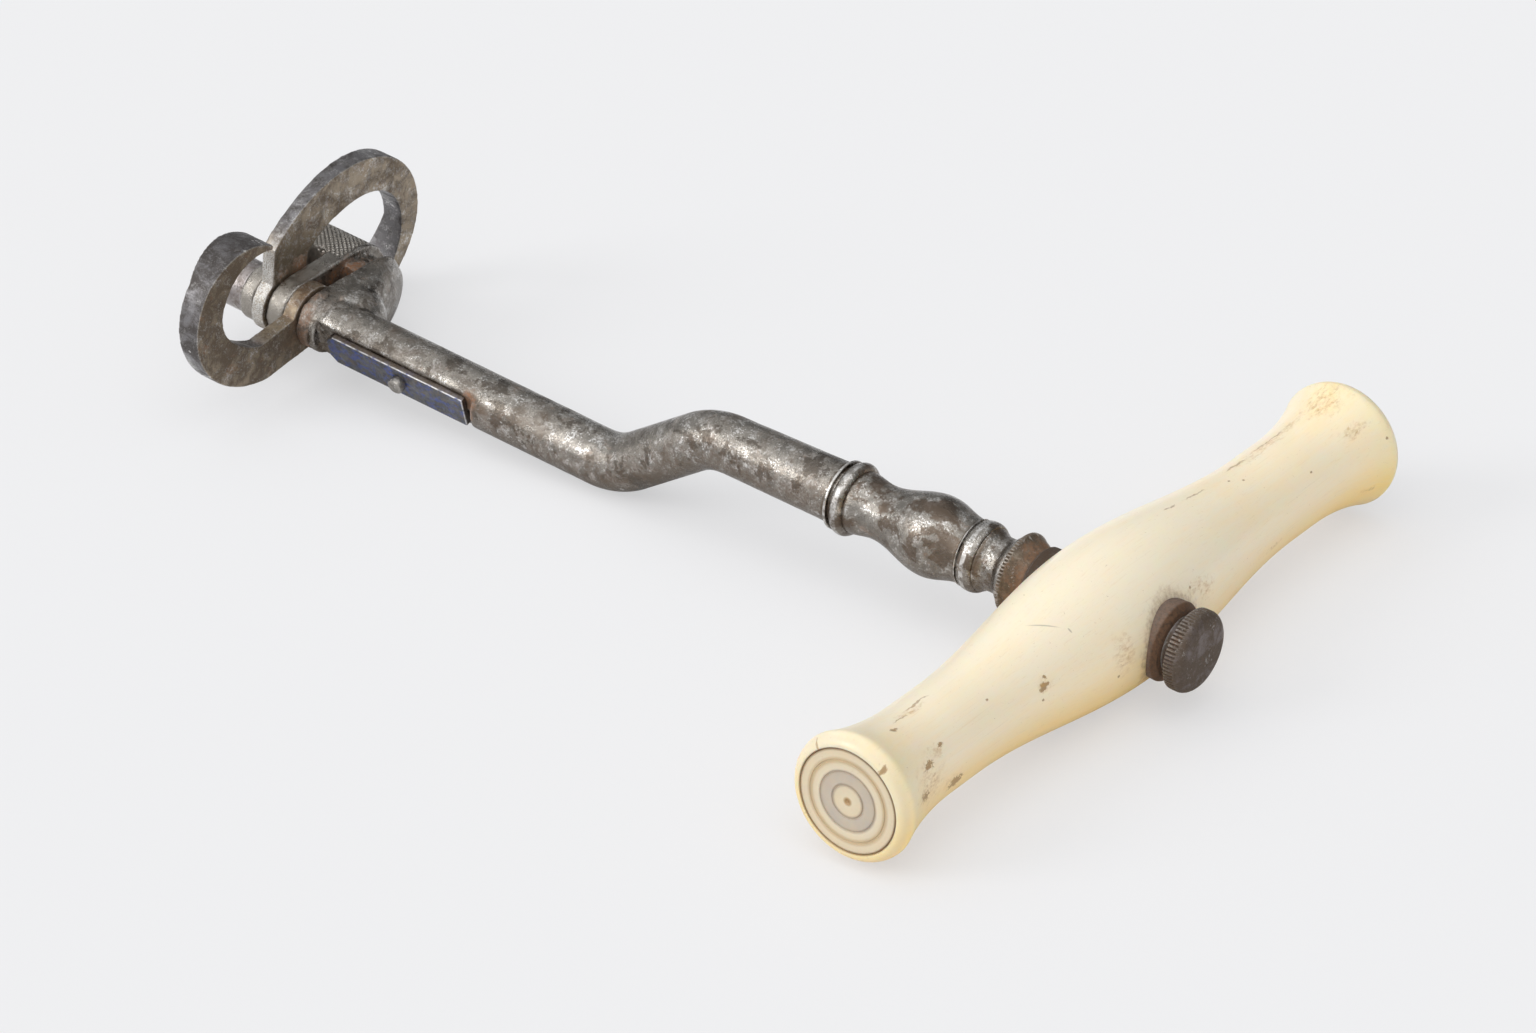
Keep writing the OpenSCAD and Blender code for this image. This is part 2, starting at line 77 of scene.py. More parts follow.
def placed(parent, point, degrees=0, axis="X"):
    """A place in its parent's frame, moved by a point in millimetres and then turned about an axis."""
    return parent @ Matrix.Translation(Vector(point) * MM) @ Matrix.Rotation(math.radians(degrees), 4, axis)


# Handle, end plugs and front ring, in millimetres, and how strongly ivory bends light
BELLY_R = 8.75
WAIST_R = 5.85
WAIST_AT = 31.5
FLARE_R = 7.8
FLARE_L = 12
HANDLE_HALF = 49.7
RIM_L = 1.7
RIM_DEEP = 1.2
PLUG_R = 6.4
PLUG_SEAT = HANDLE_HALF - 3.0
IVORY_IOR = 1.53
COLLAR_FRONT = BELLY_R + 3.45

# Frames of the two straight stretches of the key. The handle's has its origin where the tang crosses the
# handle's axis, +Y along the handle and -X towards the head. The arm's has its origin at the corner of
# the lower bend.
REST_TILT = 3.7916
ARM_RISE = 1.8
HANDLE_FRAME = placed(Matrix.Identity(4), (58.7334, 0, BELLY_R), REST_TILT, "Y")
ARM_FRAME = placed(HANDLE_FRAME, (-69.1, 0, -9.7), ARM_RISE, "Y")
ARM_BACK = ARM_FRAME.inverted()
ARM_WAY = ARM_FRAME.to_3x3() @ Vector((1, 0, 0))

# Turns that lay a piece turned about Z along the handle, towards the head and towards the nut
ACROSS = Matrix.Rotation(math.radians(-90), 4, "X")
TO_HEAD = Matrix.Rotation(math.radians(-90), 4, "Y")
TO_NUT = Matrix.Rotation(math.radians(90), 4, "Y")

# Stations along the arm, in millimetres from the lower corner, where the head is at the negative end
BOSS_RINGS = (-43.9, -45.3)
SLOT_NEAR = -46.9
HATCH_START = -49.5
HATCH_END = -58.3
HEAD_END = -55.85
KNOB_END = -61.25

# The round bolster, whose axis lies beside the arm's and a little lower, and the grooves of its
# cross-hatching, which reach from one way round it to another, counted in millimetres from the top
BOLSTER_Y = 10.8
BOLSTER_DROP = 1.6
BOLSTER_R = 5.6
HATCH_FROM = -3.0
HATCH_TO = 13.5
HATCH_PITCH = 0.7
HATCH_HALF = 0.09
HATCH_SLANT = 1.41
HATCH_DEEP = 0.16

# The catch spring in its flat, which is turned about the arm by some degrees, and its stud
SPRING_TURN = 20
SPRING_L = 21.1
SPRING_W = 4.5
SPRING_THICK = 0.8
SPRING_START = 21.3
SPRING_SEAT = 2.2
STUD_AT = SPRING_START + 10.0

# The two soft lamps: name, way towards it, share of the light and share of the spread
LAMPS = (
    ("left light", Vector((-0.56, -0.75, 0.49)), 0.54, 0.45),
    ("right light", Vector((0.2, -0.45, 0.9)), 0.46, 1.1),
)

# The camera's place in millimetres, and the directions of its right, its top and its back
CAMERA_AT = Vector((438.169, -575.095, 422.941))
CAMERA_AXES = (
    Vector((0.80127, 0.59829, 0.00428)),
    Vector((-0.30477, 0.40198, 0.86344)),
    Vector((0.51487, -0.69315, 0.50444)),
)


# Sizes and colours that a user may change


def tone(name, description, default):
    """A colour in the panel."""
    return FloatVectorProperty(
        name=name, description=description, default=default, subtype="COLOR", size=3, min=0, max=1)


class StageSettings(PropertyGroup):
    floor_tone: tone("Floor tone", "Colour of the floor and of the backdrop behind it", (0.832, 0.832, 0.84))
    floor_lift: FloatProperty(
        name="Floor lift", description="Share of the floor's tone that shadows don't darken",
        default=0.63, min=0, max=0.8)
    sky_level: FloatProperty(
        name="Sky level", description="Strength of the light from all round, on average",
        default=0.565, min=0, max=2)
    sky_slope: FloatProperty(
        name="Sky slope", description="How much brighter the sky is in front than behind",
        default=0.74, min=0, max=1)
    lamp_level: FloatProperty(
        name="Lamp level", description="Strength of both soft lamps together, in watts for each square metre",
        default=1.78, min=0, max=6)
    lamp_spread: FloatProperty(
        name="Lamp spread",
        description="Angle that the lamps fill in the sky, the left one less and the right one more",
        default=math.radians(58), subtype="ANGLE", unit="ROTATION", min=0, max=math.pi)
    lens: FloatProperty(
        name="Lens", description="Focal length of the camera, in millimetres",
        default=166.97, min=20, max=400)


class IvorySettings(PropertyGroup):
    cream: tone("Cream", "Colour of the clean ivory", (0.885, 0.795, 0.612))
    # On the handle's underside the amber is also painted warm bounce light
    amber: tone("Amber", "Colour of the yellowed ivory on the underside", (1.0, 0.68, 0.24))
    stain: tone("Stain", "Colour of the old stains and cracks", (0.27, 0.135, 0.025))
    round_steps: IntProperty(
        name="Steps round", description="Faces round the turned handle", default=128, min=32, max=256)


class SteelSettings(PropertyGroup):
    bright: tone("Bright steel", "Colour of rubbed, bare steel", (0.74, 0.725, 0.7))
    grey: tone("Grey steel", "Colour of dull, oxidised steel", (0.34, 0.315, 0.28))
    brown: tone("Brown patina", "Colour of the dark brown patina", (0.095, 0.066, 0.042))
    rust: tone("Rust", "Colour of the rust in slots and hollows", (0.25, 0.11, 0.045))
    blue: tone("Blue temper", "Colour of the blued spring where it is brightest", (0.035, 0.075, 0.32))
    voxel: FloatProperty(
        name="Voxel", description="Mesh size of the bar and bolster", default=0.25 * MM,
        subtype="DISTANCE", unit="LENGTH", min=0.1 * MM, max=MM, precision=6)


# Nodes


class Nodes:
    """A node tree, with short ways to add to it. Each gives the output socket that holds its result."""

    def __init__(self, tree):
        self.tree = tree

    def feed(self, entry, value):
        """Puts a plain value, or a link from another node's socket, into an input."""
        if isinstance(value, bpy.types.NodeSocket):
            self.tree.links.new(value, entry)
        else:
            entry.default_value = value

    def add(self, kind, inputs=None, **settings):
        """Adds a node, sets its own settings and fills its inputs. This one gives the node."""
        made = self.tree.nodes.new(kind)
        for key, value in settings.items():
            setattr(made, key, value)
        for key, value in (inputs or {}).items():
            self.feed(made.inputs[key], value)
        return made

    def calc(self, operation, *values, clamp=False):
        """Result of one Math node."""
        inputs = dict(enumerate(values))
        return self.add("ShaderNodeMath", inputs, operation=operation, use_clamp=clamp).outputs[0]

    def plus(self, first, second, clamp=False):
        return self.calc("ADD", first, second, clamp=clamp)

    def minus(self, first, second, clamp=False):
        return self.calc("SUBTRACT", first, second, clamp=clamp)

    def times(self, first, second, clamp=False):
        return self.calc("MULTIPLY", first, second, clamp=clamp)

    def hypot(self, first, second):
        """Distance from an axis, out of the two coordinates across it."""
        return self.calc("SQRT", self.plus(self.times(first, first), self.times(second, second)))

    def strongest(self, masks):
        """The highest of several masks."""
        total = masks[0]
        for mask in masks[1:]:
            total = self.calc("MAXIMUM", total, mask)
        return total

    def sway(self, pattern, amount):
        """A pattern from 0 to 1 as a change either way, by up to half the amount."""
        return self.times(self.minus(pattern, 0.5), amount)

    def rise(self, value, low, high, bottom=0.0, top=1.0):
        """Smooth step from bottom to top as the value passes from low to high."""
        inputs = {"Value": value, "From Min": low, "From Max": high, "To Min": bottom, "To Max": top}
        return self.add("ShaderNodeMapRange", inputs, interpolation_type="SMOOTHSTEP").outputs["Result"]

    def vector(self, operation, *values, result="Vector", **named):
        """Result of one Vector Math node, a vector unless Value is asked for."""
        inputs = {**dict(enumerate(values)), **named}
        return self.add("ShaderNodeVectorMath", inputs, operation=operation).outputs[result]

    def parts(self, vector):
        """The x, y and z sockets of a vector."""
        return self.add("ShaderNodeSeparateXYZ", {0: vector}).outputs[:3]

    def coordinates(self, kind):
        """One kind of texture coordinates."""
        return self.add("ShaderNodeTexCoord").outputs[kind]

    def mix(self, factor, first, second):
        """Colour between first and second."""
        inputs = {0: factor}
        for entry_no, shade in ((6, first), (7, second)):
            inputs[entry_no] = shade if isinstance(shade, bpy.types.NodeSocket) else (*shade[:3], 1)
        return self.add("ShaderNodeMix", inputs, data_type="RGBA", clamp_factor=True).outputs[2]

    def noise(self, vector, scale, detail=3.0, roughness=0.55, distortion=0.0, result="Fac"):
        """Fractal noise from 0 to 1, with the scale in patches for each millimetre."""
        inputs = {
            "Vector": vector, "Scale": scale, "Detail": detail, "Roughness": roughness,
            "Distortion": distortion}
        return self.add("ShaderNodeTexNoise", inputs).outputs[result]

    def group(self, shared, **inputs):
        """Places a shared group with its own values, and gives all its outputs."""
        inputs = {key.replace("_", " "): value for key, value in inputs.items()}
        return self.add("ShaderNodeGroup", inputs, node_tree=shared).outputs

    def spot(self, vector, centre, size, softness, ragged, grain):
        """Mask of one stain or patch."""
        return self.group(
            spot_group(), Vector=vector, Centre=centre, Size=size, Softness=softness, Ragged=ragged,
            Grain_scale=grain)["Mask"]

    def stains(self, vector, rows):
        """Mask of several stains on the unrolled handle.

        A row holds the centre along the handle and round it from the top, and the length and width, all in
        millimetres, and then the softness, the raggedness and the scale of the grain.
        """
        return self.strongest([
            self.spot(vector, (along, way, 0), (length, width, 1), softness, ragged, grain)
            for along, way, length, width, softness, ragged, grain in rows])


# Node groups that the materials share


def shared_group(name, inputs, build):
    """A shader node group, built at its first use.

    An input's value is its default, and None stands for a vector that is always linked. The build function
    gives the output sockets by name.
    """
    if name in bpy.data.node_groups:
        return bpy.data.node_groups[name]
    nodes = Nodes(bpy.data.node_groups.new(name, "ShaderNodeTree"))
    interface = nodes.tree.interface
    for label, value in inputs.items():
        kind = "NodeSocketFloat" if isinstance(value, float) else "NodeSocketVector"
        made = interface.new_socket(name=label, in_out="INPUT", socket_type=kind)
        if value is not None:
            made.default_value = value
    results = build(nodes, nodes.add("NodeGroupInput").outputs)
    for label, value in results.items():
        kind = "NodeSocketVector" if value.type == "VECTOR" else "NodeSocketFloat"
        interface.new_socket(name=label, in_out="OUTPUT", socket_type=kind)
    nodes.add("NodeGroupOutput", results)
    return nodes.tree


def patina_group():
    """Masks of old steel: brown patina in clouds, bright flecks, fine pits and a grain."""

    def build(nodes, given):
        place, scale = given["Vector"], given["Speckle scale"]
        cloud = nodes.noise(place, given["Cloud scale"], 5, 0.6, 0.8)
        patch = nodes.noise(place, nodes.times(scale, 0.2), 6, 0.7, 0.2)
        speckle = nodes.noise(place, scale, 4, 0.75, 0.1)
        fine = nodes.noise(place, nodes.times(scale, 1.4), 3, 0.7)
        mass = nodes.plus(nodes.times(cloud, 0.5), nodes.times(patch, 0.3))
        mass = nodes.plus(mass, nodes.times(speckle, 0.2))
        low = nodes.minus(0.62, nodes.times(given["Patina level"], 0.27))
        patina = nodes.rise(mass, low, nodes.plus(low, 0.14))
        chips = nodes.plus(nodes.times(speckle, 0.5), nodes.times(patch, 0.5))
        edge = nodes.minus(0.68, nodes.times(given["Fleck level"], 0.24))
        bare = nodes.minus(1.0, nodes.times(patina, 0.7))
        fleck = nodes.times(nodes.rise(chips, edge, nodes.plus(edge, 0.05)), bare)
        return {"Patina": patina, "Fleck": fleck, "Pits": nodes.rise(fine, 0.57, 0.68), "Grain": fine}

    inputs = {
        "Vector": None, "Cloud scale": 0.3, "Speckle scale": 2.5, "Patina level": 0.5, "Fleck level": 0.5}
    return shared_group("Key patina", inputs, build)


def wear_group():
    """Masks of a surface's outer edges and inner corners, broken up by noise."""

    def build(nodes, given):
        bend = nodes.add("ShaderNodeNewGeometry").outputs["Pointiness"]
        bend = nodes.plus(bend, nodes.sway(nodes.noise(given["Vector"], 3.0, 4, 0.65), 0.06))
        edge = nodes.rise(bend, 0.515, nodes.plus(0.515, given["Reach"]))
        hollow = nodes.rise(bend, nodes.minus(0.48, given["Reach"]), 0.48, 1.0, 0.0)
        return {"Edge": edge, "Hollow": hollow}

    return shared_group("Key edge wear", {"Vector": None, "Reach": 0.08}, build)


def spot_group():
    """A ragged round mask about a centre, with a size along each axis."""

    def build(nodes, given):
        away = nodes.vector("SUBTRACT", given["Vector"], given["Centre"])
        away = nodes.vector("DIVIDE", away, given["Size"])
        core = nodes.rise(nodes.vector("LENGTH", away, result="Value"), 0.1, 1.25, 1.0, 0.0)
        grain = nodes.noise(given["Vector"], given["Grain scale"], 5, 0.65)
        core = nodes.plus(core, nodes.sway(grain, nodes.times(given["Ragged"], 4.0)))
        return {"Mask": nodes.rise(core, 0.4, nodes.plus(0.4, given["Softness"]))}

    inputs = {
        "Vector": None, "Centre": None, "Size": (1, 1, 1), "Softness": 0.3, "Ragged": 0.3, "Grain scale": 2.0}
    return shared_group("Key spot", inputs, build)


def unroll_group():
    """The handle's round surface laid flat: length along it and way round it from the top, in millimetres."""

    def build(nodes, given):
        mean_r = 7.0
        x, y, z = nodes.parts(given["Vector"])
        way = nodes.times(nodes.calc("ARCTAN2", x, z), mean_r)
        radius = nodes.hypot(x, z)
        flat = nodes.add("ShaderNodeCombineXYZ", {0: y, 1: way, 2: 0.0}).outputs[0]
        top = nodes.calc("DIVIDE", z, nodes.calc("MAXIMUM", radius, 0.01))
        return {"Flat": flat, "Radius": radius, "Top": top}

    return shared_group("Key unrolled handle", {"Vector": None}, build)


def turn_group():
    """Flat coordinates moved to a centre and turned, for a stain that lies slantwise."""

    def build(nodes, given):
        inputs = {"Vector": given["Vector"], "Center": given["Centre"], "Angle": given["Turn"]}
        turned_flat = nodes.add("ShaderNodeVectorRotate", inputs, rotation_type="Z_AXIS").outputs[0]
        return {"Vector": nodes.vector("SUBTRACT", turned_flat, given["Centre"])}

    return shared_group("Key turned flat", {"Vector": None, "Centre": None, "Turn": 0.0}, build)


# Materials


class Look(Nodes):
    """A material in the making: its nodes, and what its Principled shader is fed when it is done."""

    def __init__(self, name, place_frame=None):
        self.material = bpy.data.materials.new(name)
        self.material.use_nodes = True
        super().__init__(self.material.node_tree)
        self.shader = self.tree.nodes["Principled BSDF"]
        if place_frame:
            # Object coordinates turned into one of the key's frames, in millimetres
            back = place_frame.inverted()
            self.place = self.add("ShaderNodeMapping", {
                "Vector": self.coordinates("Object"), "Location": back.translation / MM,
                "Rotation": back.to_euler(), "Scale": (1 / MM,) * 3}, vector_type="POINT").outputs[0]

    def stretched(self, *scale):
        """The place scaled by three factors, to draw a pattern out along one axis."""
        return self.vector("MULTIPLY", self.place, scale)

    def patches(self, low, high, scale, detail, roughness, distortion=0.0):
        """Mask of noise that rises as the noise passes from low to high."""
        return self.rise(self.noise(self.place, scale, detail, roughness, distortion), low, high)

    def paint(self, mask, shade, share=None):
        """Lays a colour over what is there, where the mask is, or a share as thick."""
        mask = mask if share is None else self.times(mask, share)
        self.colour = self.mix(mask, self.colour, shade)

    def set_plain(self, **values):
        """Sets plain values of the shader."""
        for key, value in values.items():
            self.shader.inputs[key.replace("_", " ")].default_value = value

    def done(self, strength, relief):
        """Feeds the shader, with the height in millimetres through a Bump node, and gives the material."""
        bump = self.add(
            "ShaderNodeBump", {"Height": self.height, "Strength": strength, "Distance": relief * MM})
        self.feed(self.shader.inputs["Base Color"], self.colour)
        self.feed(self.shader.inputs["Roughness"], self.dull)
        self.feed(self.shader.inputs["Normal"], bump.outputs["Normal"])
        return self.material


def ivory_look():
    """Old ivory: cream above, amber below, lengthwise grain, cracks and stains."""
    tones = bpy.context.scene.key_ivory
    look = Look("key ivory", HANDLE_FRAME)
    laid = look.group(unroll_group(), Vector=look.place)
    flat = laid["Flat"]
    y, z = look.parts(look.place)[1:]
    along = look.calc("ABSOLUTE", y)
    cloud = look.noise(look.stretched(1, 0.35, 1), 0.11, 4, 0.55, 0.4)
    grain = look.noise(look.stretched(1, 0.045, 1), 1.6, 5, 0.6)
    hair = look.noise(look.stretched(1, 0.02, 1), 5.5, 3, 0.6)
    # Amber yellowing on the flares, round the middle and underneath; underneath it is also painted warm
    # bounce light
    low = look.rise(look.plus(laid["Top"], look.sway(cloud, 1.2)), -0.9, 0.7, 1.0, 0.0)
    ends = look.rise(along, 36.0, 50.0)
    yellowing_and_bounce = look.plus(look.times(low, 1.1), look.times(ends, 0.25), clamp=True)
    yellowing_and_bounce = look.plus(yellowing_and_bounce, look.sway(cloud, 0.9), clamp=True)
    yellowing_and_bounce = look.plus(yellowing_and_bounce, look.sway(grain, 0.4), clamp=True)
    look.colour = look.mix(yellowing_and_bounce, tones.cream, tones.amber)
    look.paint(look.rise(hair, 0.56, 0.75, 0.0, 0.22), (0.68, 0.5, 0.27))
    # The stains lie on a slightly warped surface, and the fine dots on a plain one
    warp = look.noise(flat, 0.9, 3.0, 0.5, result="Color")
    warp = look.vector("SCALE", look.vector("SUBTRACT", warp, (0.5, 0.5, 0.5)), Scale=1.1)
    skin = look.vector("ADD", flat, warp)
    dark = look.stains(skin, [
        (-21.2, 7.4, 1.1, 0.75, 0.35, 0.5, 2.6), (-20.6, 6.5, 0.5, 0.4, 0.4, 0.4, 3.4),
        (-39.1, 5.8, 1.0, 0.5, 0.4, 0.6, 2.8), (-42.4, 7.1, 1.5, 0.7, 0.4, 0.65, 2.8),
        (-37.6, 12.0, 1.9, 1.2, 0.35, 0.65, 2.4), (-44.6, 9.8, 1.5, 0.8, 0.45, 0.7, 2.8),
        (-49.4, 4.2, 0.6, 0.6, 0.4, 0.3, 2.6), (-43.0, 0.9, 0.9, 0.4, 0.5, 0.6, 3.0),
    ])
    cracks = look.stains(skin, [
        (-36.6, -0.9, 3.6, 0.24, 0.5, 0.15, 2.2), (-40.6, -0.1, 2.2, 0.2, 0.5, 0.15, 2.2),
        (-49.4, -5.1, 0.8, 0.25, 0.5, 0.2, 3.0), (28.0, -2.3, 3.2, 0.35, 0.5, 0.35, 2.2),
        (17.6, -0.8, 3.4, 0.22, 0.5, 0.35, 2.2), (12.6, -0.8, 2.0, 0.2, 0.5, 0.3, 2.6),
        (35.0, -2.6, 6.0, 0.25, 0.7, 0.4, 1.8),
    ])
    dots = look.stains(flat, [
        (along_mm, way, 0.32, 0.26, 0.4, 0.4, 5.0) for along_mm, way in (
            (25.4, 1.0), (23.8, -0.1), (34.9, 5.6), (47.5, 7.3), (-29.3, 4.7), (-21.8, 8.9), (4.9, 7.4),
            (-9.6, 11.2))])
    look.paint(look.rise(along, 48.3, 49.4), (0.6, 0.52, 0.37), 0.55)
    stains = look.strongest([dark, look.times(cracks, 0.75), look.times(dots, 0.9)])
    look.paint(stains, tones.stain, 0.78)
    slant = look.group(turn_group(), Vector=flat, Centre=(-16.2, 1.7, 0), Turn=math.radians(-46))["Vector"]
    hair_line = look.strongest([
        look.stains(slant, [(0, 0, 3.0, 0.16, 0.6, 0.05, 1.0)]),
        look.stains(flat, [(-14.15, 3.95, 0.2, 0.55, 0.5, 0.05, 1.0)])])
    look.paint(hair_line, (0.33, 0.27, 0.2), 0.6)
    smudges = look.stains(skin, [
        (-21.0, 7.2, 2.0, 1.6, 0.9, 0.45, 1.6), (-38.2, 11.6, 3.2, 2.3, 0.9, 0.45, 1.4),
        (-43.2, 8.4, 3.6, 2.6, 0.9, 0.5, 1.2), (-40.2, 6.2, 2.6, 1.6, 0.9, 0.45, 1.6),
        (-38.6, -0.4, 5.0, 1.0, 0.9, 0.35, 1.4), (8.0, 8.6, 3.0, 1.6, 0.9, 0.5, 1.2),
        (-8.4, 9.2, 3.0, 3.6, 0.9, 0.35, 0.9), (6.0, 7.6, 3.4, 1.0, 0.9, 0.5, 1.4),
        (45.0, -1.2, 5.6, 4.2, 0.9, 0.5, 1.0), (33.0, -2.0, 9.0, 1.6, 0.9, 0.5, 1.2),
        (44.0, 4.6, 3.6, 1.6, 0.9, 0.5, 1.4), (40.0, -2.4, 7.0, 1.1, 0.9, 0.5, 1.0),
        (25.0, 11.5, 3.0, 0.6, 0.9, 0.5, 1.4), (-43.0, 9.0, 6.0, 5.0, 1.1, 0.4, 0.7),
        (44.5, 13.0, 2.2, 0.9, 0.9, 0.5, 1.4),
    ])
    mottle = look.rise(look.noise(look.stretched(1, 0.4, 1), 2.4, 5, 0.7), 0.38, 0.68)
    look.paint(look.times(smudges, mottle), (0.52, 0.31, 0.1), 0.8)
    # Grime and painted shade on the ivory against the washer and the front ring, darkest nearest the tang
    ragged = look.times(look.noise(look.place, 1.4, 5, 0.65), 3.4)
    grime_and_shade_by_tang = look.rise(look.plus(look.hypot(y, z), ragged), 5.6, 8.0, 1.0, 0.0)
    look.paint(grime_and_shade_by_tang, (0.3, 0.15, 0.045), 0.75)
    # Seat of the end plugs
    seat = look.rise(laid["Radius"], PLUG_R, PLUG_R + 0.22, 1.0, 0.0)
    look.paint(look.times(seat, look.rise(along, 49.3, 49.65)), (0.16, 0.09, 0.045), 0.8)
    look.dull = look.plus(0.27, look.times(look.plus(cloud, stains), 0.12))
    look.height = look.minus(look.times(look.plus(grain, hair), 0.3), look.times(stains, 0.6))
    look.set_plain(
        IOR=IVORY_IOR, Subsurface_Weight=0.5, Subsurface_Radius=(1.0, 0.6, 0.3), Subsurface_Scale=2.2 * MM,
        Coat_Weight=0.12, Coat_Roughness=0.2)
    return look.done(0.35, 0.06)


def plug_look():
    """Ivory plug with its scored and stained rings."""
    tones = bpy.context.scene.key_ivory
    look = Look("key ivory plug", HANDLE_FRAME)
    radius = look.group(unroll_group(), Vector=look.place)["Radius"]
    cloud = look.noise(look.place, 0.5, 4, 0.6)
    fine = look.noise(look.place, 4.0, 4, 0.65)
    share = look.calc("DIVIDE", look.plus(radius, look.sway(fine, 0.12)), PLUG_R)
    rings = look.add("ShaderNodeValToRGB", {0: share})
    stops = [
        (0.0, (0.22, 0.11, 0.045)), (0.06, (0.3, 0.19, 0.09)), (0.1, (0.56, 0.5, 0.38)),
        (0.26, (0.54, 0.47, 0.35)), (0.31, (0.25, 0.21, 0.18)), (0.36, (0.38, 0.345, 0.31)),
        (0.52, (0.36, 0.325, 0.29)), (0.57, (0.27, 0.23, 0.2)), (0.62, (0.57, 0.51, 0.4)),
        (0.7, (0.55, 0.485, 0.365)), (0.75, (0.4, 0.31, 0.2)), (0.81, (0.42, 0.33, 0.22)),
        (0.86, (0.56, 0.49, 0.37)), (0.95, (0.54, 0.46, 0.34)), (0.985, (0.13, 0.085, 0.06)),
    ]
    ramp = rings.color_ramp.elements
    while len(ramp) < len(stops):
        ramp.new(0.5)
    for element, (at, shade) in zip(ramp, stops):
        element.position = at
        element.color = (*shade, 1)
    look.colour = look.mix(look.times(cloud, 0.22), rings.outputs[0], tones.amber)
    look.paint(look.rise(fine, 0.6, 0.75, 0.0, 0.4), (0.4, 0.28, 0.15))
    look.dull = look.plus(0.3, look.times(fine, 0.25))
    look.height = fine
    look.set_plain(IOR=IVORY_IOR, Subsurface_Weight=0.15, Subsurface_Scale=MM)
    return look.done(0.3, 0.04)


def steel_look(
        name, place_frame, cloud, speckle, patina, fleck, tint=None, tint_level=0.0, rusty=(), rust_level=0.0,
        shine=0.25, relief=0.045, edge=0.5, under=0.0, extra=None):
    """Old steel with patina, flecks, pits, rust in places and rubbed edges.

    A rusty place has its centre and size in the piece's frame, in millimetres, and a strength. The extra
    function may change the look before its edges are rubbed bright.
    """
    look = Look(name, place_frame)
    tones = look.tones = bpy.context.scene.key_steel
    old = look.old = look.group(
        patina_group(), Vector=look.place, Cloud_scale=cloud, Speckle_scale=speckle, Patina_level=patina,
        Fleck_level=fleck)
    wear = look.group(wear_group(), Vector=look.place)
    look.colour = look.mix(look.patches(0.3, 0.7, cloud * 3.0, 5, 0.65), shaded(tones.grey, 0.6), tones.grey)
    if tint:
        look.paint(tint_level, tint)
    look.paint(old["Patina"], tones.brown, 0.82)
    look.paint(old["Fleck"], tones.bright, 0.82)
    look.paint(old["Pits"], shaded(tones.brown, 0.5), 0.55)
    # Darker brown towards faces that point down, as strong as the under share
    if under:
        down = look.parts(look.coordinates("Normal"))[2]
        down = look.plus(down, look.noise(look.place, 0.8, 5, 0.65))
        look.paint(look.rise(down, -0.5, 0.85, 1.0, 0.0), (0.1, 0.07, 0.042), under)
    look.height = look.minus(look.times(old["Grain"], 1.2), look.times(old["Pits"], 0.6))
    look.height = look.minus(look.height, look.times(old["Patina"], 0.35))
    red = look.times(look.patches(0.56, 0.72, 0.55, 5, 0.7, 0.5), rust_level)
    for centre, size, strength in rusty:
        there = look.spot(look.place, centre, size, 0.5, 0.35, 0.8)
        red = look.calc("MAXIMUM", red, look.times(there, strength))
    red = look.times(red, look.patches(0.3, 0.6, 2.6, 5, 0.7), clamp=True)
    look.paint(red, tones.rust)
    look.metal = look.minus(look.minus(1.0, red), look.times(old["Patina"], 0.35), clamp=True)
    look.dull = look.plus(look.plus(shine, look.times(old["Patina"], 0.2)), look.times(red, 0.45))
    look.dull = look.minus(look.dull, look.times(old["Fleck"], 0.1), clamp=True)
    if extra:
        extra(look)
    rubbed = look.times(wear["Edge"], edge)
    look.paint(rubbed, tones.bright)
    look.paint(wear["Hollow"], shaded(tones.brown, 0.6), 0.7)
    look.feed(look.shader.inputs["Metallic"], look.calc("MAXIMUM", look.metal, look.times(rubbed, 0.9)))
    return look.done(0.9, relief)


def shaded(colour, share):
    """A darker tone of a colour."""
    return tuple(share * part for part in colour)


# Modelling


def only(piece):
    """Leaves one object selected and active, or none, in object mode."""
    if bpy.context.object and bpy.context.object.mode != "OBJECT":
        bpy.ops.object.mode_set(mode="OBJECT")
    bpy.ops.object.select_all(action="DESELECT")
    if piece:
        piece.hide_set(False)
        piece.select_set(True)
        bpy.context.view_layer.objects.active = piece


def edit_all(piece):
    """Opens a piece in edit mode, with all of it selected."""
    only(piece)
    bpy.ops.object.mode_set(mode="EDIT")
    bpy.ops.mesh.select_all(action="SELECT")


def edit_points(piece, chosen):
    """Opens a piece in edit mode, with the points selected that a test picks out by their place."""
    edit_all(piece)
    bpy.ops.mesh.select_mode(type="VERT")
    bpy.ops.mesh.select_all(action="DESELECT")
    bpy.ops.object.mode_set(mode="OBJECT")
    for vertex in piece.data.vertices:
        vertex.select = chosen(vertex.co)
    bpy.ops.object.mode_set(mode="EDIT")


def close_edit():
    """Goes back to object mode."""
    bpy.ops.object.mode_set(mode="OBJECT")


def apply_all(piece):
    """Applies every modifier of an object, in order."""
    only(piece)
    for modifier in list(piece.modifiers):
        bpy.ops.object.modifier_apply(modifier=modifier.name)


def modify(piece, name, kind, **settings):
    """Adds a modifier with its settings."""
    made = piece.modifiers.new(name, kind)
    for key, value in settings.items():
        setattr(made, key, value)


def set_in(piece, place):
    """Carries a piece drawn in millimetres at the origin into its frame, and applies that to its mesh."""
    only(piece)
    piece.matrix_world = place @ Matrix.Scale(MM, 4)
    bpy.ops.object.transform_apply(location=True, rotation=True, scale=True)


def new_primitive(name, add, **settings):
    """Adds a primitive, and names it and its mesh."""
    only(None)
    add(**settings)
    piece = bpy.context.object
    piece.name = piece.data.name = name
    return piece


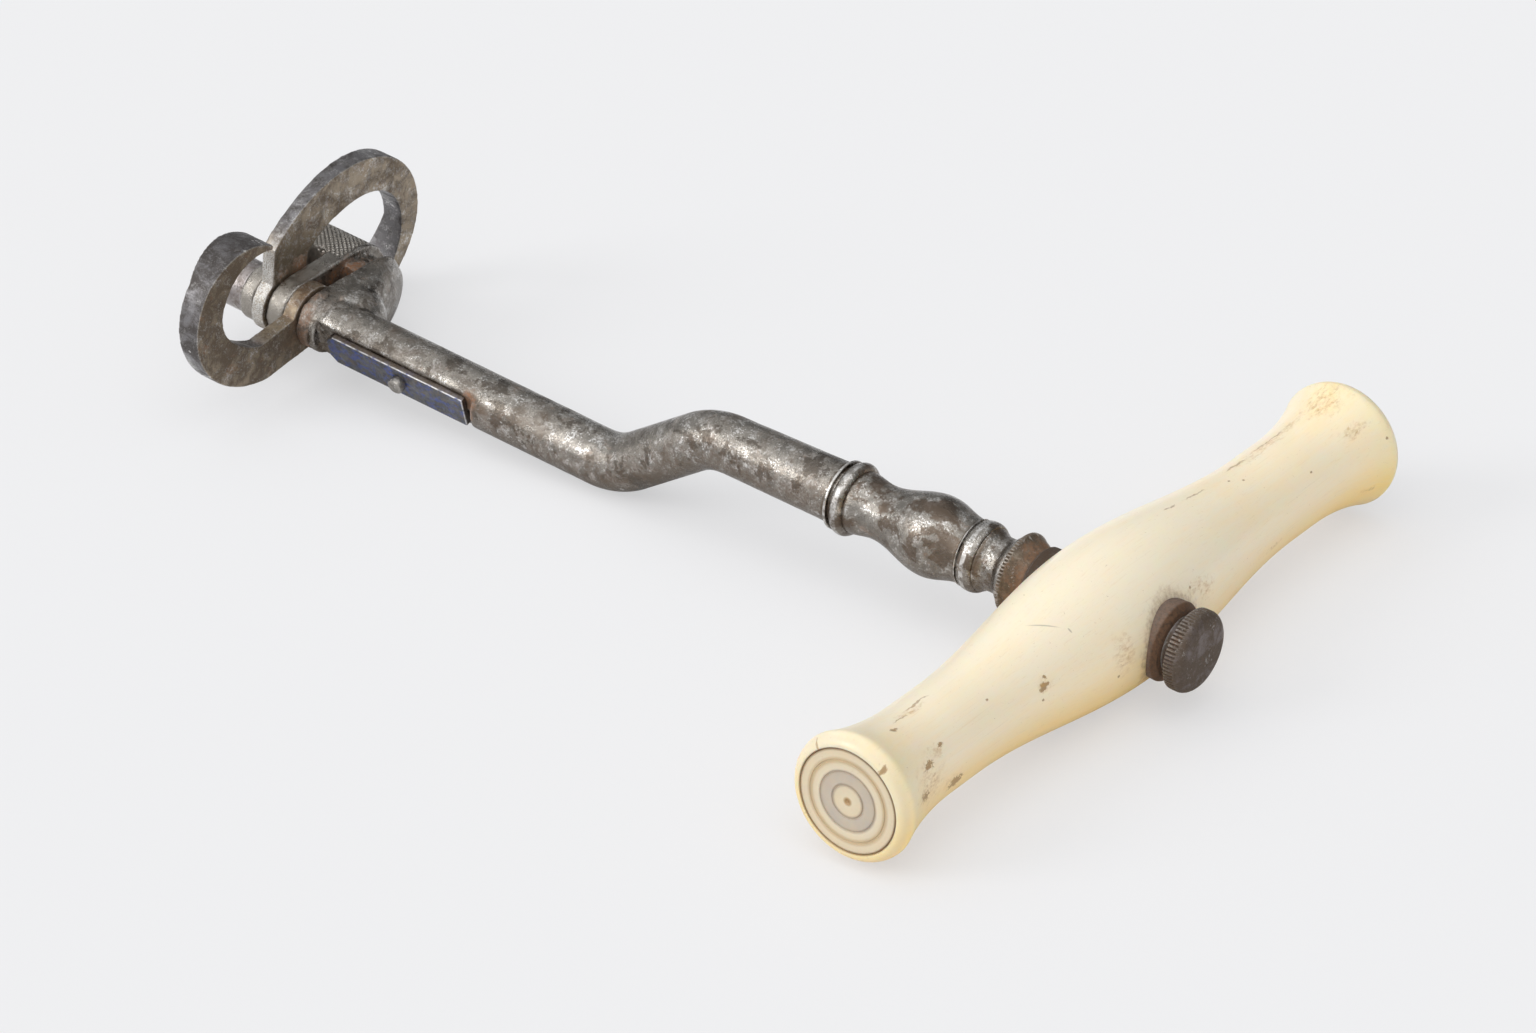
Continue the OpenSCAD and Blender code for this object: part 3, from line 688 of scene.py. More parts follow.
def turned(name, profile, place, steps=96, rim=None):
    """A piece turned about its Z axis, carried into its place.

    The profile of radii and heights in millimetres is drawn by extruding one vertex, and is spun. A rim
    gives the number of teeth milled round the piece, the heights between which they lie, the least radius
    that they touch, and the share of the radius left at the bottom of each tooth.
    """
    piece = new_primitive(name, bpy.ops.mesh.primitive_plane_add, size=1, location=(0, 0, 0))
    edit_all(piece)
    bpy.ops.mesh.select_mode(type="VERT")
    bpy.ops.mesh.merge(type="CENTER")
    bpy.ops.transform.translate(value=(profile[0][0], 0, profile[0][1]))
    for (r0, h0), (r1, h1) in zip(profile, profile[1:]):
        bpy.ops.mesh.extrude_region_move(TRANSFORM_OT_translate={"value": (r1 - r0, 0, h1 - h0)})
    bpy.ops.mesh.select_all(action="SELECT")
    bpy.ops.mesh.spin(steps=steps, angle=2 * math.pi, center=(0, 0, 0), axis=(0, 0, 1))
    bpy.ops.mesh.select_all(action="SELECT")
    bpy.ops.mesh.remove_doubles(threshold=0.004)
    if rim:
        teeth, low, high, least_r, share = rim

        def in_tooth_gap(point):
            row = round(math.atan2(point.y, point.x) / (2 * math.pi) * steps) % (steps // teeth)
            return row == 0 and low <= point.z <= high and math.hypot(point.x, point.y) > least_r

        edit_points(piece, in_tooth_gap)
        bpy.ops.transform.resize(value=(share, share, 1), center_override=(0, 0, 0))
        bpy.ops.mesh.select_all(action="SELECT")
    bpy.ops.mesh.normals_make_consistent(inside=False)
    close_edit()
    set_in(piece, place)
    return piece


def cut_away(piece, place, x, side):
    """Cuts off what lies beyond a plane across a frame's X axis, on one side of it, and closes the cut."""
    edit_all(piece)
    bpy.ops.mesh.bisect(
        plane_co=place @ (Vector((x, 0, 0)) * MM), plane_no=place.to_3x3() @ Vector((side, 0, 0)),
        use_fill=True, clear_outer=True)
    close_edit()


def merge_into(piece, *others):
    """Joins other pieces into the first, for the next remesh to make one skin of them."""
    only(piece)
    for other in others:
        other.select_set(True)
    bpy.ops.object.join()


def copy_of(node, name):
    """A merged copy of a CAD node, which is loose triangles, as the start of a softer piece."""
    source = frame["nodes"][node]
    hidden = source.hide_viewport
    source.hide_viewport = False
    only(source)
    bpy.ops.object.duplicate()
    source.hide_viewport = hidden
    piece = bpy.context.object
    piece.hide_viewport = piece.hide_render = False
    piece.name = piece.data.name = name
    piece.parent = None
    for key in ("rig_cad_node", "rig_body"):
        if key in piece:
            del piece[key]
    piece.data.materials.clear()
    edit_all(piece)
    bpy.ops.mesh.remove_doubles(threshold=0.002 * MM)
    close_edit()
    if piece.data.has_custom_normals:
        bpy.ops.mesh.customdata_custom_splitnormals_clear()
    return piece


def finish_piece(piece, material, body, slot, *nodes, angle=None):
    """Gives a piece its material, its body and smooth shading, and hides the CAD nodes that it stands for."""
    only(piece)
    if angle:
        bpy.ops.object.shade_smooth_by_angle(angle=math.radians(angle))
    else:
        bpy.ops.object.shade_smooth()
    piece.data.materials.clear()
    piece.data.materials.append(material)
    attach(piece, body)
    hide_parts(*nodes)


def arc(centre, radii, start, end, step):
    """Points of an arc of a turned profile, as radius and height, by whole degrees from the radius up."""
    return [
        (centre[0] + radii[0] * math.cos(math.radians(a)), centre[1] + radii[1] * math.sin(math.radians(a)))
        for a in range(start, end, step)]


def glide(start, end, count, first=0):
    """Points on a smooth passage between two points of a turned profile, in equal steps of height."""
    return [
        (start[0] + (end[0] - start[0]) * (0.5 - 0.5 * math.cos(math.pi * i / count)),
         start[1] + (end[1] - start[1]) * i / count)
        for i in range(first, count + 1)]


def handle_r(y):
    """Radius of the turned handle at a distance from its middle, in millimetres."""
    belly = 0.5 + 0.5 * math.cos(math.pi * min(1.0, abs(y / WAIST_AT)))
    flare = max(0.0, (abs(y) - HANDLE_HALF + FLARE_L + RIM_L) / FLARE_L)
    return WAIST_R + (BELLY_R - WAIST_R) * belly + (FLARE_R - WAIST_R) * flare ** 2.2


# Operators


class OBJECT_OT_key_stage(Operator):
    """Sets the pale floor, the soft light and the camera"""

    bl_idname = "object.key_stage"
    bl_label = "Stage"
    bl_options = {"REGISTER", "UNDO"}

    def execute(self, context):
        values = context.scene.key_stage
        backdrop_tone = tuple(values.floor_tone)
        floor = new_primitive("floor", bpy.ops.mesh.primitive_plane_add, size=4.0, location=(0, 0, 0))
        look = Look("key floor")
        look.set_plain(Base_Color=(*backdrop_tone, 1), Roughness=1.0, Specular_IOR_Level=0.0)
        glow = look.add("ShaderNodeEmission", {"Color": (*backdrop_tone, 1)}).outputs[0]
        lift = look.times(look.add("ShaderNodeLightPath").outputs["Is Camera Ray"], values.floor_lift)
        shown = look.add("ShaderNodeMixShader", {0: lift, 1: look.shader.outputs[0], 2: glow}).outputs[0]
        look.feed(look.tree.nodes["Material Output"].inputs["Surface"], shown)
        floor.data.materials.append(look.material)

        world = bpy.data.worlds.new("key sky")
        context.scene.world = world
        world.use_nodes = True
        sky = Nodes(world.node_tree)
        front = sum((way for _, way, _, _ in LAMPS), Vector()).normalized()
        facing = sky.vector("DOT_PRODUCT", sky.coordinates("Generated"), front, result="Value")
        level, slope = values.sky_level, values.sky_slope
        strength = sky.rise(facing, -0.5, 0.95, level * (1 - slope), level * (1 + slope))
        light = sky.vector("SCALE", (0.99, 1.0, 1.02), Scale=strength)
        seen = sky.add("ShaderNodeLightPath").outputs["Is Camera Ray"]
        background = world.node_tree.nodes["Background"]
        background.inputs["Strength"].default_value = 1.0
        sky.feed(background.inputs["Color"], sky.mix(seen, light, backdrop_tone))

        for name, way, share, spread in LAMPS:
            bpy.ops.object.light_add(type="SUN", location=way)
            lamp = context.object
            lamp.name = name
            lamp.data.energy = values.lamp_level * share
            lamp.data.angle = values.lamp_spread * spread
            lamp.rotation_euler = way.to_track_quat("Z", "Y").to_euler()

        bpy.ops.object.camera_add()
        camera = context.object
        camera.name = "camera"
        turn = Matrix(CAMERA_AXES).transposed().to_4x4()
        camera.matrix_world = Matrix.Translation(CAMERA_AT * MM) @ turn
        camera.data.sensor_width = 36.0
        camera.data.lens = values.lens
        camera.data.clip_start = 0.01
        camera.data.clip_end = 20.0
        context.scene.camera = camera
        context.scene.view_settings.view_transform = "Standard"
        return {"FINISHED"}


class OBJECT_OT_key_handle(Operator):
    """Turns the ivory cross handle and the plug at each of its ends"""

    bl_idname = "object.key_handle"
    bl_label = "Handle and end plugs"
    bl_options = {"REGISTER", "UNDO"}

    def execute(self, context):
        shoulder = HANDLE_HALF - RIM_L
        rows = 80
        half = [(handle_r(shoulder * i / rows), shoulder * i / rows) for i in range(rows + 1)]
        rim = arc((FLARE_R - RIM_DEEP, shoulder), (RIM_DEEP, RIM_L), 10, 91, 10)
        mouth = [
            (PLUG_R + 0.1, HANDLE_HALF - 0.02), (PLUG_R, HANDLE_HALF - 0.15), (PLUG_R, PLUG_SEAT),
            (0.0, PLUG_SEAT)]
        upper = half[1:] + rim + mouth
        profile = [(r, -h) for r, h in reversed(upper)] + [half[0]] + upper
        steps = context.scene.key_ivory.round_steps
        handle = turned("handle_turned", profile, HANDLE_FRAME @ ACROSS, steps)
        finish_piece(handle, ivory_look(), "root", "ivory", "handle", angle=40)

        look = plug_look()
        face = HANDLE_HALF - 0.06
        radius = PLUG_R - 0.03
        foot = PLUG_SEAT + 0.02
        score = face - 0.09
        outline = [(0.0, foot), (radius, foot), (radius, face - 0.1), (radius - 0.1, face)]
        for share in (0.78, 0.57, 0.32):
            at = share * PLUG_R
            outline += [(at + 0.13, face), (at + 0.06, score), (at - 0.06, score), (at - 0.13, face)]
        outline += [(0.35, face), (0.2, face - 0.12), (0.0, face - 0.14)]
        for name, node, degrees in (("plug_near", "end_plug_near", 90), ("plug_far", "end_plug_far", -90)):
            plug = turned(name, outline, placed(HANDLE_FRAME, (0, 0, 0), degrees, "X"))
            finish_piece(plug, look, "root", "ivory", node, angle=30)
        return {"FINISHED"}


class OBJECT_OT_key_fixing(Operator):
    """Makes the washer, the milled thumb nut and the stepped front ring"""

    bl_idname = "object.key_fixing"
    bl_label = "Washer, nut and front ring"
    bl_options = {"REGISTER", "UNDO"}

    def execute(self, context):
        washer = turned("washer_turned", [
            (0.0, 7.3), (4.75, 7.3), (4.82, 8.86), (4.76, 9.0), (4.62, 9.1), (4.2, 9.48), (4.05, 9.58),
            (0.0, 9.59)], HANDLE_FRAME @ TO_NUT, 72)
        look = steel_look(
            "key washer", HANDLE_FRAME, cloud=0.5, speckle=3.0, patina=1.0, fleck=0.05,
            tint=(0.085, 0.042, 0.03), tint_level=0.92, rust_level=0.5, shine=0.42, edge=0.12,
            rusty=[((9, 0, 0), (8, 14, 14), 0.42)])
        finish_piece(washer, look, "root", "dark_steel", "seat_washer", angle=40)

        nut = turned("thumb_nut_milled", [
            (0.0, 9.6), (3.46, 9.6), (3.42, 9.9), (3.42, 10.45), (3.5, 10.6), (4.4, 10.62), (4.78, 10.75),
            (4.92, 10.9), (4.95, 11.1), (4.95, 11.95), (4.9, 12.15), (4.78, 12.4), (4.55, 12.68),
            (4.3, 12.88), (4.05, 13.0), (3.7, 13.05), (0.0, 13.09)], HANDLE_FRAME @ TO_NUT, 256,
            rim=(64, 10.7, 12.0, 4.6, 0.968))
        look = steel_look(
            "key nut", HANDLE_FRAME, cloud=0.4, speckle=2.0, patina=0.85, fleck=0.46,
            tint=(0.15, 0.12, 0.115), tint_level=0.85, rust_level=0.35, shine=0.44, edge=0.35)
        finish_piece(nut, look, "nut_body", "dark_steel", "thumb_nut", angle=30)

        front = COLLAR_FRONT
        ring = turned("front_ring_milled", [
            (0.0, 7.6), (4.4, 7.6), (4.4, 7.8), (4.4, 8.3), (4.4, 8.8), (4.4, 9.02), (4.39, 9.1), (4.3, 9.22),
            (4.02, 9.4), (3.92, 9.6), (3.98, 9.85), (4.1, 10.09), (4.3, 10.48), (4.5, 10.87), (4.7, 11.27),
            (4.78, front - 0.78), (4.86, front - 0.68), (4.94, front - 0.56), (4.98, front - 0.48),
            (4.98, front - 0.12), (4.9, front - 0.03), (4.7, front), (0.0, front)],
            HANDLE_FRAME @ TO_HEAD, 288, rim=(72, front - 0.5, front - 0.08, 4.9, 0.97))

        def dark_foot(look):
            foot = look.rise(look.parts(look.place)[0], -9.7, -9.3)
            look.paint(foot, (0.045, 0.03, 0.02), 0.9)
            look.metal = look.times(look.metal, look.minus(1.0, foot))
            look.dull = look.plus(look.dull, look.times(foot, 0.3), clamp=True)

        look = steel_look(
            "key front ring", HANDLE_FRAME, cloud=0.45, speckle=3.6, patina=0.85, fleck=0.5,
            tint=(0.2, 0.155, 0.11), tint_level=0.7, rust_level=0.6, shine=0.36, edge=0.35,
            rusty=[((-9.0, 0, 0), (4.0, 12, 12), 0.55)], extra=dark_foot)
        finish_piece(ring, look, "root", "steel", "front_collar", angle=35)
        return {"FINISHED"}


class OBJECT_OT_key_shank(Operator):
    """Turns the front end of the shank: foot, neck, ring, baluster, bead and disc"""

    bl_idname = "object.key_shank"
    bl_label = "Shank"
    bl_options = {"REGISTER", "UNDO"}

    def execute(self, context):
        bead_x, bead_half, bead_r, bead_rise = 35.4, 0.9, 4.5, 0.8
        foot_r, neck_r, ring_foot, ring_rise, line_r = 4.45, 3.35, 3.85, 0.45, 4.12
        fat_r, throat_r, bar_r, disc_r = 4.95, 3.35, 3.75, 4.25
        whole = bead_x - bead_half - COLLAR_FRONT

        def along(share):
            return COLLAR_FRONT + share * whole

        ring_at, ring_half = along(0.228), 0.047 * whole
        line_at, belly_at, throat_at = ring_at + ring_half, along(0.515), along(0.855)
        bead_end = bead_x + bead_half
        profile = [
            (0.0, COLLAR_FRONT), (foot_r, COLLAR_FRONT), (foot_r, along(0.008)),
            *glide((foot_r - 0.1, along(0.011)), (neck_r, along(0.08)), 8),
            *glide((neck_r, along(0.13)), (ring_foot, ring_at - ring_half), 6),
            *arc((ring_foot, ring_at), (ring_rise, ring_half), -80, 81, 16),
            (ring_foot - 0.06, line_at + 0.08), (line_r - 0.05, line_at + 0.12), (line_r, line_at + 0.2),
            (line_r - 0.05, line_at + 0.28), (ring_foot + 0.1, line_at + 0.36),
            *glide((ring_foot + 0.1, line_at + 0.4), (fat_r, belly_at), 24, 1),
            *glide((fat_r, belly_at), (throat_r, throat_at), 28, 1),
            *glide((throat_r, throat_at), (throat_r + 0.45, bead_x - bead_half), 8, 1)[:-1],
            *arc((bead_r - bead_rise, bead_x), (bead_rise, bead_half), -84, 85, 12),
            (bar_r + 0.05, bead_end + 0.02), (bar_r + 0.05, bead_end + 0.28), (disc_r - 0.06, bead_end + 0.3),
            (disc_r, bead_end + 0.38), (disc_r, bead_end + 0.58), (disc_r - 0.08, bead_end + 0.68),
            (bar_r, bead_end + 0.7), (bar_r - 0.02, bead_end + 1.4), (0.0, bead_end + 1.4),
        ]
        shank = turned("shank_turned", profile, HANDLE_FRAME @ TO_HEAD)

        def hollows_and_crests(look):
            x = look.times(look.parts(look.place)[0], -1.0)

            def bands(rows):
                offsets = [look.calc("DIVIDE", look.minus(x, at), half) for at, half in rows]
                return look.strongest(
                    [look.minus(1.0, look.calc("ABSOLUTE", offset), clamp=True) for offset in offsets])

            look.paint(look.patches(0.52, 0.56, 0.24, 6, 0.7, 0.2), (0.1, 0.07, 0.048), 0.78)
            dark = bands([(13.6, 0.8), (16.0, 0.6), (18.6, 0.4), (34.4, 0.35), (36.45, 0.25), (37.3, 0.5)])
            look.paint(look.times(dark, look.patches(0.3, 0.55, 1.6, 4, 0.6)), look.tones.brown, 0.85)
            bright = look.rise(bands([(18.45, 0.2), (17.4, 0.5), (35.4, 0.6), (36.8, 0.3)]), 0.25, 0.6)
            look.paint(look.times(bright, look.patches(0.36, 0.6, 1.2, 4, 0.6)), look.tones.bright, 0.7)

        look = steel_look(
            "key turned steel", HANDLE_FRAME, cloud=0.24, speckle=3.6, patina=0.5, fleck=0.64, rust_level=0.4,
            edge=0.3, under=0.8, extra=hollows_and_crests)
        finish_piece(shank, look, "root", "steel", "shank", angle=35)
        return {"FINISHED"}


class OBJECT_OT_key_bolster(Operator):
    """Forges the cranked bar and the bolster in one skin, and cuts the bolster's cross-hatching"""

    bl_idname = "object.key_bolster"
    bl_label = "Bar and bolster"
    bl_options = {"REGISTER", "UNDO"}

    def execute(self, context):
        bar = copy_of("shank", "bar_and_bolster")
        cut_away(bar, HANDLE_FRAME, -37.1, 1)
        wings = []
        for centre, size, degrees in (
                ((-44.6, 8.6, -1.5), (1.7, 7.4, 4.9), 14), ((-42.4, 3.4, -0.4), (3.0, 4.4, 4.0), 22)):
            wing = new_primitive(
                "lug swelling", bpy.ops.mesh.primitive_uv_sphere_add, segments=64, ring_count=32, radius=1)
            set_in(wing, placed(ARM_FRAME, centre, degrees, "Z") @ Matrix.Diagonal((*size, 1)))
            cut_away(wing, ARM_FRAME, SLOT_NEAR + 0.3, -1)
            wings.append(wing)
        merge_into(bar, copy_of("bolster", "bolster part"), *wings)
        modify(bar, "one skin", "REMESH", mode="VOXEL", voxel_size=context.scene.key_steel.voxel)
        apply_all(bar)

        flowing = bar.vertex_groups.new(name="flowing")
        lug_face = [
            vertex.index for vertex in bar.data.vertices for x, y, z in [on_arm(vertex.co)]
            if SLOT_NEAR + 1.5 < x < -35.5 and y > -1.5]
        flowing.add(lug_face, 1.0, "REPLACE")
        modify(bar, "flowing lug", "SMOOTH", factor=0.5, iterations=17, vertex_group="flowing")
        modify(bar, "rounded edges", "SMOOTH", factor=0.5, iterations=2)
        apply_all(bar)
        cut_hatching(bar)
        cut_boss_rings(bar)

        def blotches_and_scale(look):
            x, y = look.parts(look.place)[:2]
            look.paint(look.patches(0.545, 0.585, 0.3, 6, 0.7, 0.2), (0.095, 0.078, 0.062), 0.8)
            look.paint(look.rise(x, -49.9, -49.2, 1.0, 0.0), (0.32, 0.295, 0.26), 0.7)
            beside = look.times(look.rise(y, -3.9, -2.4, 1.0, 0.0), look.rise(x, -44.4, -43.6))
            look.paint(look.times(beside, look.patches(0.4, 0.62, 1.5, 5, 0.7)), (0.13, 0.08, 0.05), 0.5)

        look = steel_look(
            "key forged steel", ARM_FRAME, cloud=0.22, speckle=3.9, patina=0.55, fleck=0.66, rust_level=0.3,
            edge=0.35, under=0.9, extra=blotches_and_scale, rusty=[
                ((-48.2, 7.0, 1.0), (3.0, 9.0, 5.0), 1.0), ((-52.7, 5.0, 0.5), (2.6, 9.0, 6.5), 1.0),
                ((-46.2, -1.5, 0.0), (2.2, 6.6, 7.0), 0.6), ((-20.6, -3.4, 0.5), (2.0, 2.6, 3.6), 0.9)])
        finish_piece(bar, look, "root", "steel", "shank", "bolster")
        return {"FINISHED"}


def on_arm(point):
    """A point in the arm's frame, in millimetres."""
    return ARM_BACK @ point / MM


def on_bolster(point):
    """A point's place along the arm, its way round the bolster from the top, and its radius there."""
    x, y, z = on_arm(point)
    across, over = y - BOLSTER_Y, z + BOLSTER_DROP
    return x, math.atan2(across, over) * BOLSTER_R, math.hypot(across, over)


def in_hatched_face(point, margin, depth):
    """Whether a point is in the hatched face, a margin inside its border, and not deeper than a depth."""
    x, way, radius = on_bolster(point)
    in_length = HATCH_END + margin < x < HATCH_START - margin
    return in_length and HATCH_FROM + margin < way < HATCH_TO - margin and radius > BOLSTER_R - depth


def cut_hatching(bar):
    """Cuts crossed grooves into the upper face of the round bolster, after making its faces small there."""
    for polygon in bar.data.polygons:
        polygon.select = in_hatched_face(polygon.center, 0.0, 0.45)
    only(bar)
    bpy.ops.object.mode_set(mode="EDIT")
    bpy.ops.mesh.select_mode(type="FACE")
    bpy.ops.mesh.subdivide(number_cuts=2)

    def in_groove(point):
        x, way, _ = on_bolster(point)
        slants = ((x + way) / HATCH_PITCH, (x - way) / HATCH_PITCH)
        reach = HATCH_HALF / HATCH_PITCH * HATCH_SLANT
        on_line = any(abs(slant - round(slant)) < reach for slant in slants)
        return on_line and in_hatched_face(point, 0.1, 0.35)

    edit_points(bar, in_groove)
    bpy.ops.transform.shrink_fatten(value=-HATCH_DEEP * MM)
    close_edit()


def cut_boss_rings(bar):
    """Cuts two fine rings into the round end of the arm, beside the lug."""
    half, depth, least_r, lug_foot = 0.17, 0.18, 3.2, 1.0

    def in_ring(point):
        x, y, z = on_arm(point)
        beside = min(abs(x - ring) for ring in BOSS_RINGS)
        return y < lug_foot and math.hypot(y, z) > least_r and beside < half

    edit_points(bar, in_ring)
    bpy.ops.transform.shrink_fatten(value=-depth * MM)
    close_edit()


class OBJECT_OT_key_claws(Operator):
    """Files up the two claws, whose hooks narrow to an edge while their flanks widen"""

    bl_idname = "object.key_claws"
    bl_label = "Claws"
    bl_options = {"REGISTER", "UNDO"}

    def execute(self, context):
        near = self.filed("near_claw", "claw_near_filed")
        look = steel_look(
            "key near claw steel", ARM_FRAME, cloud=0.35, speckle=4.2, patina=0.8, fleck=0.6,
            tint=(0.3, 0.235, 0.155), tint_level=0.8, rust_level=0.5, shine=0.34, edge=0.7,
            rusty=[((-48.5, -8.0, 9.0), (4.0, 8.0, 7.0), 0.75), ((-48.0, 0, 0), (4, 8, 8), 0.3)],
            extra=self.rims((-50, -20, 4), (3, 2, 8)))
        finish_piece(near, look, "near_claw_body", "steel", "near_claw")

        far = self.filed("far_claw", "claw_far_filed")
        look = steel_look(
            "key far claw steel", ARM_FRAME, cloud=0.35, speckle=4.0, patina=0.7, fleck=0.68,
            tint=(0.34, 0.27, 0.185), tint_level=0.75, rust_level=0.35, shine=0.34, edge=0.7,
            rusty=[((-52.8, 3.0, 1.0), (4.0, 8.5, 7.0), 0.9)], extra=self.rims((-54, -3.0, 3.0), (8, 9, 11)))
        finish_piece(far, look, "far_claw_body", "steel", "far_claw")
        return {"FINISHED"}

    def filed(self, node, name):
        """A copy of a claw with even small faces and rounded edges."""
        claw = copy_of(node, name)
        modify(claw, "even faces", "REMESH", mode="VOXEL", voxel_size=0.13 * MM)
        modify(claw, "rounded edges", "SMOOTH", factor=0.5, iterations=3)
        apply_all(claw)
        return claw

    def rims(self, bright_at, bright_size):
        """Paints a claw's narrow sides slate grey, and bright about one place, unlike its filed flanks."""

        def paint(look):
            facing = look.vector("DOT_PRODUCT", look.coordinates("Normal"), ARM_WAY, result="Value")
            rim = look.rise(look.calc("ABSOLUTE", facing), 0.45, 0.8, 1.0, 0.0)
            y, z = look.parts(look.place)[1:]
            outer = look.times(rim, look.rise(look.hypot(y, z), 7.5, 11.0))
            slate = look.mix(look.old["Patina"], (0.2, 0.2, 0.215), (0.075, 0.07, 0.07))
            slate = look.mix(look.times(look.old["Fleck"], 0.75), slate, (0.5, 0.49, 0.48))
            look.paint(outer, slate, 0.85)
            shine = look.times(look.spot(look.place, bright_at, bright_size, 0.5, 0.2, 0.5), rim)
            worn = look.rise(look.old["Grain"], 0.44, 0.56, 0.15, 0.8)
            look.paint(look.times(shine, worn), (0.7, 0.7, 0.68))
            look.metal = look.calc("MAXIMUM", look.metal, look.times(rim, 0.85))

        return paint


class OBJECT_OT_key_pin(Operator):
    """Turns the pin that the claws swing on, with its round knob"""

    bl_idname = "object.key_pin"
    bl_label = "Claw pin"
    bl_options = {"REGISTER", "UNDO"}

    def execute(self, context):
        start, head, end = 29.2, -HEAD_END, -KNOB_END
        pin_r, knob_r, corner = 1.2, 3.25, 0.4
        profile = [
            (0.0, start), (pin_r - 0.1, start), (pin_r, start + 0.1), (pin_r, head), (knob_r - 0.2, head),
            (knob_r - 0.03, head + 0.15), (knob_r, head + 0.4),
            *arc((knob_r - corner, end - corner), (corner, corner), 0, 91, 15), (1.6, end), (0.0, end)]
        pin = turned("claw_pin_turned", profile, ARM_FRAME @ TO_HEAD, 72)
        look = steel_look(
            "key pin steel", ARM_FRAME, cloud=0.45, speckle=2.6, patina=0.6, fleck=0.55,
            tint=(0.3, 0.26, 0.27), tint_level=0.5, rust_level=0.3, shine=0.32, edge=0.4)
        finish_piece(pin, look, "pin_body", "dark_steel", "claw_pin", angle=35)
        return {"FINISHED"}


